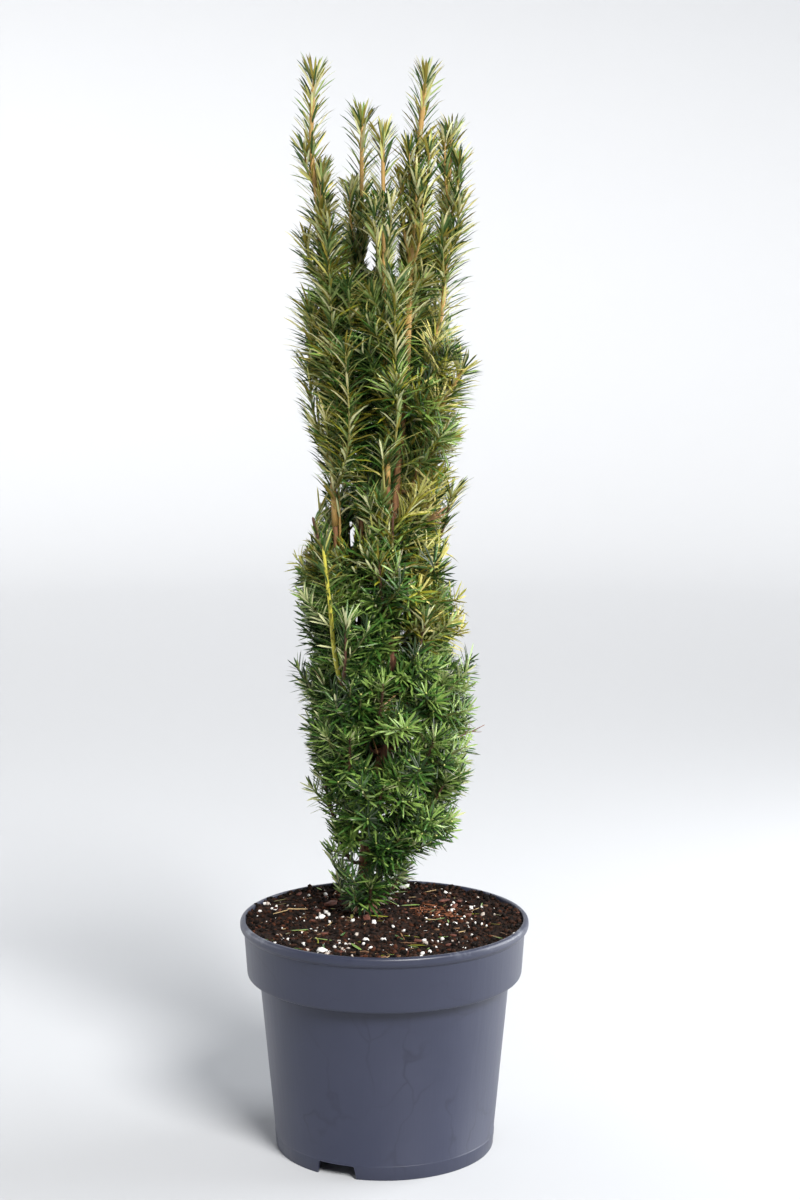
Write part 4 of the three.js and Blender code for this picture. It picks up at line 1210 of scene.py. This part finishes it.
def twiglets(twig, seed):
    """Small shoots along a twig. Those that would point into the crown turn out to the light."""
    course = twig["course"]
    count = int(course.length / TWIGLETS["step"])
    if not count:
        return []
    shares = np.linspace(TWIGLETS["from"], TWIGLETS["to"], count + 1)[:-1]
    grown = []
    for i, origin in enumerate(zip(*course.frames(shares))):
        numbers = stream(seed * TWIGLETS["seeds"] + i)
        centre, _, across, aside = origin
        angle = i * GOLDEN_ANGLE + next(numbers) * math.tau
        out = across * math.cos(angle) + aside * math.sin(angle)
        middle, _ = crown_at(centre[2])
        if out[:2].dot(centre[:2] - (middle, CROWN_CENTRE)) < 0 and next(numbers) < TWIGLETS["outward"]:
            angle += math.pi
        lean = np.interp(centre[2], *STEEPNESS.T)
        if centre[2] > TWIGLETS["sparse"] and i % 3:
            continue
        room = in_the_light(twig["stem"], between(TWIG_ROOM, next(numbers)))
        shoot = side_twig(origin, angle, between(TWIGLETS["reach"], next(numbers)), lean, room)
        if shoot and shoot.length > TWIGLETS["shortest"]:
            grown.append({"course": shoot, "stem": twig["stem"]})
    return grown


def placed_shoots(table):
    """The shoots with a place of their own: each leaves its mass's limb and bends up to its tip."""
    grown = []
    for (mass, rank), rows in table.items():
        number = stem_numbers[mass]
        whole = stems[number]["host"]["whole"]
        for leaves, *tip in rows:
            bend = np.array([*tip[:2], between((leaves, tip[2]), 0.3)])
            course = bent_course(whole.at(share_at(whole, leaves)), bend, np.array(tip))
            grown.append({"course": course, "stem": number, "rank": rank, "radius": PLACED_RADIUS})
    return grown


# Needle bases run down a leader's stem and make it look stouter than its wood.
LEADER_SWELL = 1.25
# How far a spray's tip stands aside where it would hide the long shoot.
STAND_ASIDE = np.array([0.010, 0, 0])
# How many samples of a stem are looked at, and how many at its foot may stand in an opening.
STEM_SAMPLES, FOOT_SAMPLES = 40, 8
# A stem's side twigs: their offset along it, their reach and the shift of their seeds. The first ones stand
# where its solid's twigs do, the second ones between them, and the third ones keep leaders company.
OWN_TWIGS, TWIGS_BETWEEN, COMPANIONS = (0, 1, 0), (0.5, 0.9, 500), (0.66, 1.35, 6600)
OWN_ROOM = 1.15
shoots = []
twigs = []
along = np.linspace(0, 1, STEM_SAMPLES)
for number, stem in enumerate(stems):
    course = stem["course"]
    if not stem["leader"]:
        if before_the_long_shoot(course.at(along)).any():
            course = Course(course.places + np.linspace(0, 1, len(course.places))[:, None] * STAND_ASIDE)
        closing = in_an_opening(course.at(along))[FOOT_SAMPLES:]
        if closing.any():
            course = course.stretch(0, along[FOOT_SAMPLES + np.argmax(closing)])
    shoots.append({"course": course, "stem": number, "rank": AXIS,
                   "radius": stem["radius"] * (LEADER_SWELL if stem["leader"] else 1)})
    twigs += side_twigs(number, *OWN_TWIGS, lambda places: is_free(places, number, TWIG["margin"])
                        & in_the_light(number, OWN_ROOM)(places))
    twigs += side_twigs(number, *TWIGS_BETWEEN)
    if stem["leader"] and stem["name"] != "leader_front_left":
        twigs += side_twigs(number, *COMPANIONS)
for number, limb in enumerate(limbs):
    if limb["name"] != "bough_front_left":
        twigs += wood_shoots(limb, number)
shoots += [{**shoot, "rank": LONG, "radius": SHOOT_RADIUS[LONG]} for shoot in uprights()]
shoots += placed_shoots(SIDE_SHOOTS)
for number, twig in enumerate(twigs):
    shoots.append({**twig, "rank": SIDE, "radius": SHOOT_RADIUS[SIDE]})
    shoots += [{**small, "rank": SMALL, "radius": SHOOT_RADIUS[SMALL]} for small in twiglets(twig, number)]
shoots += placed_shoots(FOOT_SHOOTS)

# ---------------------------------------------------------------- needles
# Flat, narrow, pointed needles on short stalks, set in a spiral. They are dark above with a ridge, and
# pale yellow-green below. Low down they open into stars, and on the leaders they stand close and arch.

# The needle's stations: share of its length, and width there as a share of the greatest.
NEEDLE_STATIONS = ((0, 0.42), (0.26, 1.0), (0.76, 0.90), (1.0, 0.06))
# Its section: the two margins and the ridge, in widths. Its sides run from one corner to the next, the
# first of them below and the others above.
NEEDLE_SECTION = ((-0.5, 0), (0.5, 0), (0, 0.17))
NEEDLE_SIDES = ((0, 1, 1), (1, 2, 0), (2, 0, 0))


def needle_blank():
    """A needle of unit length and width: a three-sided bar with a ridge above, drawn out to a point."""
    blank = bmesh.new()
    rings = [[blank.verts.new((x * width, y * width, along)) for x, y in NEEDLE_SECTION]
             for along, width in NEEDLE_STATIONS[:-1]]
    tip = blank.verts.new((0, 0, 1))
    for a, b in zip(rings, rings[1:]):
        for one, other, kind in NEEDLE_SIDES:
            blank.faces.new((a[one], a[other], b[other], b[one])).material_index = kind
    for one, other, kind in NEEDLE_SIDES:
        blank.faces.new((rings[-1][one], rings[-1][other], tip)).material_index = kind
    blank.faces.new(rings[0][::-1]).material_index = 1
    bmesh.ops.recalc_face_normals(blank, faces=blank.faces)
    for edge in blank.edges:
        edge.smooth = len({face.material_index for face in edge.link_faces}) == 1
    return blank


# Needles by height on the crown: length, width, spread from the shoot in degrees, the spread at the shoot's
# tip, how far the end arches out, and how far the shoot's needles lean outward and upward.
ZONES = np.array([
    (0.23, 0.0190, 0.0020, 66, 36, 0.03, 0.40, 0.35), (0.50, 0.0210, 0.0020, 64, 34, 0.05, 0.35, 0.40),
    (0.57, 0.0250, 0.0020, 58, 32, 0.14, 0.20, 0.40), (0.63, 0.0310, 0.0020, 48, 28, 0.28, 0.05, 0.45),
    (0.84, 0.0310, 0.0020, 42, 24, 0.30, 0.00, 0.50), (0.92, 0.0240, 0.0021, 36, 22, 0.18, 0.00, 0.50),
    (1.06, 0.0240, 0.0022, 32, 22, 0.16, 0.00, 0.50)])
# By rank: the step between needles, where the first one stands, and how many crowd the tip.
NEEDLE_STEPS = (0.0010, 0.0012, 0.0012, 0.0010)
FIRST_NEEDLES = (0.05, 0.09, 0.08, 0.06)
TIP_TUFT = {"needles": (22, 7, 6, 12), "length": 0.009, "most": 0.3}
# How long the end of a shoot is whose needles close up towards its tip, and how much shorter they get there.
TIP_LENGTH = 0.014
TIP_SHORTENING = 0.2
# How far out of a shoot's middle its needles are rooted, as a share of its radius.
STALK = 0.7
# How much the needles of a shoot differ.
JITTER = {"turn": 0.22, "spread": 6, "length": (0.82, 1.12), "width": (0.85, 1.15), "arch": 0.03,
          "twist": 0.35}
NEEDLE_SEEDS = 1000
# How far over the crown's edge a shoot's needles may reach, as a share of the ellipse's squared reach.
NEEDLE_ROOM = (0.80, 1.25)
NEEDLE_SPARE = 0.30

# Needle colours, above and below. A stem's and a long shoot's needles are dealt theirs one by one, and the
# needles of a smaller shoot share one.
NEEDLE_TONES = {
    "deep": ((0.006, 0.024, 0.004), (0.058, 0.120, 0.027)),
    "green": ((0.040, 0.112, 0.017), (0.320, 0.410, 0.135)),
    "fresh": ((0.165, 0.262, 0.056), (0.780, 0.790, 0.430)),
    "olive": ((0.082, 0.070, 0.005), (0.320, 0.262, 0.042)),
    "yellow": ((0.226, 0.225, 0.018), (0.640, 0.610, 0.186)),
    "gold": ((0.465, 0.420, 0.130), (0.848, 0.786, 0.415)),
    "dead": ((0.230, 0.120, 0.055), (0.360, 0.210, 0.110)),
}
TONE_NAMES = list(NEEDLE_TONES)
# Chance of each tone by height, and what golden shoots' chances gain.
TONE_CHANCES = np.array([
    (0.23, 0.36, 0.20, 0.44, 0.00, 0.00, 0.00, 0.001), (0.46, 0.35, 0.21, 0.43, 0.01, 0.00, 0.00, 0.001),
    (0.60, 0.29, 0.25, 0.31, 0.04, 0.12, 0.02, 0.001), (0.75, 0.21, 0.23, 0.28, 0.03, 0.17, 0.08, 0.000),
    (0.88, 0.18, 0.19, 0.20, 0.16, 0.19, 0.08, 0.000), (0.96, 0.26, 0.14, 0.05, 0.38, 0.12, 0.05, 0.000),
    (1.06, 0.22, 0.12, 0.04, 0.44, 0.14, 0.04, 0.000)])
GOLDEN_CHANCES = np.array([0.10, 0.05, 0.10, 0.05, 0.25, 0.30, 0.01])
# Shoots nearer the middle than this share of the crown's squared reach are dealt darker tones, below this
# height:
# partly for the older needles there, and partly as painted shade in the crown's hollows.
INNER_AGE_AND_SHADE = (0.30, 0.80)
INNER_AGE_AND_SHADE_CHANCES = np.array([3, 1, 0.2, 0, 0, 0, 1])
# Chance that a needle is paler or darker than its shoot, by steps of tone.
TONE_SHIFTS = {-2: 0.07, -1: 0.25, 0: 0.36, 1: 0.25, 2: 0.07}
# The golden shoots' places: how far right they start, and their lowest and highest.
GOLDEN = ((0.025, 0.505, 0.66), (0.048, 0.735, 0.79))
# From what height the palest needles are yellow, and gold.
YELLOW_LEVEL, GOLD_LEVEL = 0.57, 0.6


def by_height(table, heights):
    """The table's columns read at the given heights."""
    return np.stack([np.interp(heights, table[:, 0], column) for column in table.T[1:]], axis=-1)


def is_golden(place):
    """Whether a shoot that ends at a place is one of the golden ones."""
    return any(place[0] > right and low < place[2] < high for right, low, high in GOLDEN)


def palest(place):
    """The palest tone of a shoot's needles: fresh green low down, yellow at the waist and gold above it."""
    if place[2] > GOLD_LEVEL or is_golden(place):
        return TONE_NAMES.index("gold")
    return TONE_NAMES.index("yellow" if place[2] > YELLOW_LEVEL else "fresh")


def deal_tone(place, draw):
    """A tone for the shoot that ends at a place: paler towards the top, golden on the right at half height,
    and darker inside the crown, partly for its older needles and partly as painted shade."""
    chances = by_height(TONE_CHANCES, np.array([place[2]]))[0]
    if is_golden(place):
        chances = chances + GOLDEN_CHANCES
    # Inside the crown the darker tones stand partly for older needles and partly as painted shade.
    elif reach_out(np.array([place]), LEAF_EDGE)[0] < INNER_AGE_AND_SHADE[0] and place[2] < INNER_AGE_AND_SHADE[1]:
        chances = chances * INNER_AGE_AND_SHADE_CHANCES
    return draw.choice(len(chances), p=chances / chances.sum())


def unit(vectors):
    """Vectors brought to a length of one."""
    return vectors / np.linalg.norm(vectors, axis=-1, keepdims=True)


def needles_of(shoot, number):
    """Where a shoot's needles stand: roots, ways, faces' directions, lengths, arches and widths."""
    course, rank = shoot["course"], shoot["rank"]
    draw = np.random.default_rng(NEEDLE_SEEDS + number)
    first = FIRST_NEEDLES[rank]
    count = max(3, int(course.length * (1 - first) / NEEDLE_STEPS[rank]))
    tuft = min(TIP_TUFT["most"], TIP_TUFT["length"] / course.length)
    shares = np.concatenate([
        first + (1 - first) * (np.arange(count) + draw.uniform(0.2, 0.8, count)) / count,
        1 - np.linspace(1, 0, TIP_TUFT["needles"][rank]) * tuft])
    shares.sort()
    count = len(shares)
    centres, headings, across, aside = course.frames(shares)
    turn = draw.uniform(0, math.tau) + np.arange(count) * GOLDEN_ANGLE
    turn = turn + draw.normal(0, JITTER["turn"], count)
    length, width, spread, tip_spread, arch, outward, upward = by_height(ZONES, centres[:, 2]).T
    middle, _ = crown_at(centres[:, 2])
    away = unit(np.stack([centres[:, 0] - middle, centres[:, 1] - CROWN_CENTRE, np.zeros(count)], axis=1))
    leaning = int(rank != AXIS)
    headings = unit(headings + leaning * (away * outward[:, None] + np.array([0, 0, 1]) * upward[:, None]))
    across = unit(across - headings * (across * headings).sum(1, keepdims=True))
    aside = np.cross(headings, across)
    out = across * np.cos(turn)[:, None] + aside * np.sin(turn)[:, None]
    near_tip = np.clip(1 - (1 - shares) * course.length / TIP_LENGTH, 0, 1)
    spread = between((spread, tip_spread), near_tip ** 1.5) + draw.normal(0, JITTER["spread"], count)
    length = length * (1 - TIP_SHORTENING * leaning * near_tip ** 2) * draw.uniform(*JITTER["length"], count)
    width = width * draw.uniform(*JITTER["width"], count)
    arch = arch + draw.normal(0, JITTER["arch"], count)
    if rank in (AXIS, LONG):
        tone = np.array([deal_tone(centre, draw) for centre in centres])
    else:
        tone = np.full(count, deal_tone(course.at(1.0), draw))
    if (tone != TONE_NAMES.index("dead")).all():
        shifts = draw.choice(list(TONE_SHIFTS), count, p=list(TONE_SHIFTS.values()))
        tone = np.clip(tone + shifts, 0, palest(course.at(1.0)))
    return {"root": centres, "heading": headings, "out": out, "length": length, "spread": np.radians(spread),
            "arch": arch, "width": width, "twist": draw.normal(0, JITTER["twist"], count),
            "stalk": np.full(count, shoot["radius"] * STALK), "tone": tone,
            "stem": np.full(count, shoot["stem"]),
            "room": np.full(count, max(draw.uniform(*NEEDLE_ROOM),
                                       reach_out(course.at([1.0]), LEAF_EDGE)[0] + NEEDLE_SPARE))}


batches = [needles_of(shoot, number) for number, shoot in enumerate(shoots)]
needles = {key: np.concatenate([batch[key] for batch in batches]) for key in batches[0]}


def needle_way(chosen, spread):
    """The way a needle points at a spread from its shoot."""
    return (needles["heading"][chosen] * np.cos(spread)[:, None]
            + needles["out"][chosen] * np.sin(spread)[:, None])


# A needle without room closes up against its shoot, then stays shorter, and otherwise is left out.
NEEDLE_FITS = ((1, 1), (0.75, 1), (0.55, 0.92), (0.8, 0.7), (0.45, 0.75))
fitted = np.zeros(len(needles["length"]), bool)
spread, length = needles["spread"].copy(), needles["length"].copy()
for closing, shortening in NEEDLE_FITS:
    waiting = np.flatnonzero(~fitted)
    trial_spread = needles["spread"][waiting] * closing
    trial_length = needles["length"][waiting] * shortening
    way = needle_way(waiting, trial_spread) * trial_length[:, None]
    fits = inside_crown(needles["root"][waiting] + way, needles["room"][waiting], LEAF_EDGE)
    own = needles["stem"][waiting] == stem_numbers["leader_front_left"]
    for share in (0, 0.25, 0.5, 0.75, 1):
        place = needles["root"][waiting] + way * share
        fits &= ~in_an_opening(place) & ~shades_the_wood(place) & (own | ~before_the_long_shoot(place))
    spread[waiting[fits]], length[waiting[fits]] = trial_spread[fits], trial_length[fits]
    fitted[waiting[fits]] = True
for key in needles:
    needles[key] = needles[key][fitted]
spread, length = spread[fitted], length[fitted]

blank = needle_blank()
points = corners_of(blank)
way = needle_way(np.arange(len(length)), spread)
face = needles["heading"] * np.sin(spread)[:, None] - needles["out"] * np.cos(spread)[:, None]
side = np.cross(way, face)
cos, sin = np.cos(needles["twist"])[:, None], np.sin(needles["twist"])[:, None]
turned_side, turned_face = side * cos + face * sin, face * cos - side * sin
root = needles["root"] + needles["out"] * needles["stalk"][:, None]
along = points[:, 2]
corners = (root[:, None]
           + way[:, None] * (length[:, None] * along)[..., None]
           - face[:, None] * ((needles["arch"] * length)[:, None] * along ** 2)[..., None]
           + turned_side[:, None] * (needles["width"][:, None] * points[:, 0])[..., None]
           + turned_face[:, None] * (needles["width"][:, None] * points[:, 1])[..., None])

needle_materials = []
for tone in TONE_NAMES:
    for side_name, colour in zip(("above", "below"), NEEDLE_TONES[tone]):
        material, _, _ = new_material(f"needle_{tone}_{side_name}", Base_Color=(*colour, 1), IOR=1.5,
                                      Roughness=0.34 if side_name == "above" else 0.48,
                                      Specular_Tint=(1, 0.96, 0.80, 1))
        needle_materials.append(material)

# The masses that each joined piece stands for.
GROUPS = {
    "low_sprays": ["spray_1", "spray_2", "spray_3"],
    "waist_sprays": ["spray_4"],
    "middle_sprays": ["spray_5"],
    "high_sprays": ["spray_6"],
    "top_sprays": ["spray_7", "spray_8"],
    "left_leaders": ["leader_left", "leader_middle_left", "leader_front_left", "leader_back_left"],
    "right_leaders": ["leader_main", "leader_right", "leader_low_right"],
    "middle_leaders": ["leader_middle", "leader_back_right"],
}


def members(group):
    """The numbers of a group's stems."""
    return [number for name, number in stem_numbers.items()
            if any(name == start or (start.startswith("spray") and name.startswith(start + "_"))
                   for start in GROUPS[group])]


for group in GROUPS:
    chosen = np.isin(needles["stem"], members(group))
    piece = join_copies(f"needles_{group}", blank, corners[chosen], needles["tone"][chosen] * 2)
    for material in needle_materials:
        piece.data.materials.append(material)
    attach(piece, "root")
    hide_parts(*(stems[number]["name"] for number in members(group)))
blank.free()

# ---------------------------------------------------------------- fallen needles
# Needles that have dropped on the soil, some still green and some gone yellow or brown. They lie flat on
# the crumbs.

FALLEN = {"strewn": 42, "tones": ("fresh", "yellow", "dead", "olive", "green"), "lengths": (0.012, 0.022),
          "placed": [(0.027, -0.085), (-0.107, 0.065), (0.018, -0.060), (-0.040, -0.052)]}
LAID_DOWN = Matrix(((0, 0, 1), (1, 0, 0), (0, 1, 0)))
blank = needle_blank()
bmesh.ops.translate(blank, verts=blank.verts, vec=(0, 0, -0.5))
bmesh.ops.rotate(blank, verts=blank.verts, matrix=LAID_DOWN)
for face in blank.faces:
    face.material_index = 0
draw = np.random.default_rng(21)
scatter("fallen_needles", blank, np.vstack([FALLEN["placed"], strewn(FALLEN["strewn"], draw)]), 20,
        FALLEN["lengths"], (1, 0.12, 0.12), 0.2, 0.0,
        [needle_materials[2 * TONE_NAMES.index(tone)] for tone in FALLEN["tones"]])

# ---------------------------------------------------------------- dead twig
# A dry forked twig that has lost its needles and sticks out of the foliage on the right.

DEAD_TWIG = (((0.062, 0.020, 0.402), (0.080, 0.012, 0.409), (0.0980, 0.008, 0.420), 0.0008),
             ((0.0860, 0.0105, 0.4130), (0.091, 0.008, 0.4125), (0.0950, 0.006, 0.4135), 0.0005),
             ((0.0780, 0.0130, 0.4090), (0.082, 0.010, 0.4140), (0.0835, 0.009, 0.4190), 0.0005))
blank = tube_blank(5, 8)
points = corners_of(blank)
laid = [drawn_along(points, bent_course(*np.array([start, bend, tip])), radius * np.linspace(1, 0.5, 9))
        for start, bend, tip, radius in DEAD_TWIG]
dead_twig = join_copies("dead_twig", blank, np.array(laid))
blank.free()
dead_twig.data.materials.append(
    mottled_material("dry_wood", (0.15, 0.080, 0.055), (0.34, 0.20, 0.15), 500, 0.0002, 0.85))
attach(dead_twig, "root")

# ---------------------------------------------------------------- buds
# Small blunt buds at the ends of the lower shoots, pale yellow-green, in the middle of their stars.

BUD = {"radius": 0.00095, "below": 0.62}
draw = np.random.default_rng(7)
budding = [shoot for shoot in shoots if shoot["rank"] and shoot["course"].at(1.0)[2] < BUD["below"]]
blank = crumb_blank()
points = corners_of(blank)
places = np.array([shoot["course"].at(1.0) for shoot in budding])
sizes = BUD["radius"] * draw.uniform(0.7, 1.2, len(budding))
buds = join_copies("buds", blank, places[:, None] + points[None] * sizes[:, None, None],
                   draw.integers(0, 2, len(budding)))
blank.free()
for tone, colour in (("pale", (0.62, 0.60, 0.20)), ("green", (0.36, 0.42, 0.10))):
    buds.data.materials.append(new_material(f"bud_{tone}", Base_Color=(*colour, 1), Roughness=0.5)[0])
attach(buds, "root")

# ---------------------------------------------------------------- stems and twigs of the foliage
# Round young shoots that carry the needles: brown where they leave old wood, orange-tan along the leaders
# and yellow-green at their ends.

STEM_TONES = {
    "brown": (0.085, 0.036, 0.020),
    "orange": (0.430, 0.260, 0.080),
    "olive": (0.110, 0.115, 0.032),
    "lime": (0.360, 0.380, 0.070),
    "straw": (0.270, 0.250, 0.070),
    "lemon": (0.500, 0.460, 0.060),
}
stem_materials = [new_material(f"shoot_{tone}", Base_Color=(*colour, 1), Roughness=0.55)[0]
                  for tone, colour in STEM_TONES.items()]
names = list(STEM_TONES)
# The sides and the steps of a shoot's tube, by rank, and how much thinner than its foot its end is.
TUBES = {AXIS: (8, 30, 0.30), SIDE: (5, 7, 0.45), SMALL: (4, 4, 0.45), LONG: (6, 20, 0.45)}
BLUNT_END = 0.3
# From what height twigs are lime, and long shoots orange.
LIME_LEVEL, ORANGE_LEVEL = 0.6, 0.93


def stem_tone(shoot):
    """Brown for sprays' axes, orange for leaders, and green for the young twigs."""
    stem, rank, height = stems[shoot["stem"]], shoot["rank"], shoot["course"].at(1.0)[2]
    if rank == LONG:
        return names.index("straw" if height < ORANGE_LEVEL else "orange")
    if rank != AXIS:
        return names.index("lime" if height > LIME_LEVEL else "olive")
    if stem["name"] == "leader_front_left":
        return names.index("lemon")
    return names.index("orange" if stem["leader"] else "brown")


for group in GROUPS:
    parts = []
    for rank, (sides, steps, thinning) in TUBES.items():
        chosen = [shoot for shoot in shoots if shoot["rank"] == rank and shoot["stem"] in members(group)]
        if not chosen:
            continue
        blank = tube_blank(sides, steps)
        points = corners_of(blank)
        shares = np.linspace(0, 1, steps + 1)
        blunt = np.where(shares == 1, BLUNT_END, 1)
        laid = [drawn_along(points, shoot["course"], shoot["radius"] * (1 - thinning * shares) * blunt)
                for shoot in chosen]
        tones = [stem_tone(shoot) for shoot in chosen]
        parts.append(join_copies(f"{group}_{rank}", blank, np.array(laid), tones))
        blank.free()
    joined = bmesh.new()
    for part in parts:
        joined.from_mesh(part.data)
        bpy.data.objects.remove(part)
    piece = to_object(f"twigs_{group}", joined)
    smooth(piece)
    for material in stem_materials:
        piece.data.materials.append(material)
    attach(piece, "root")
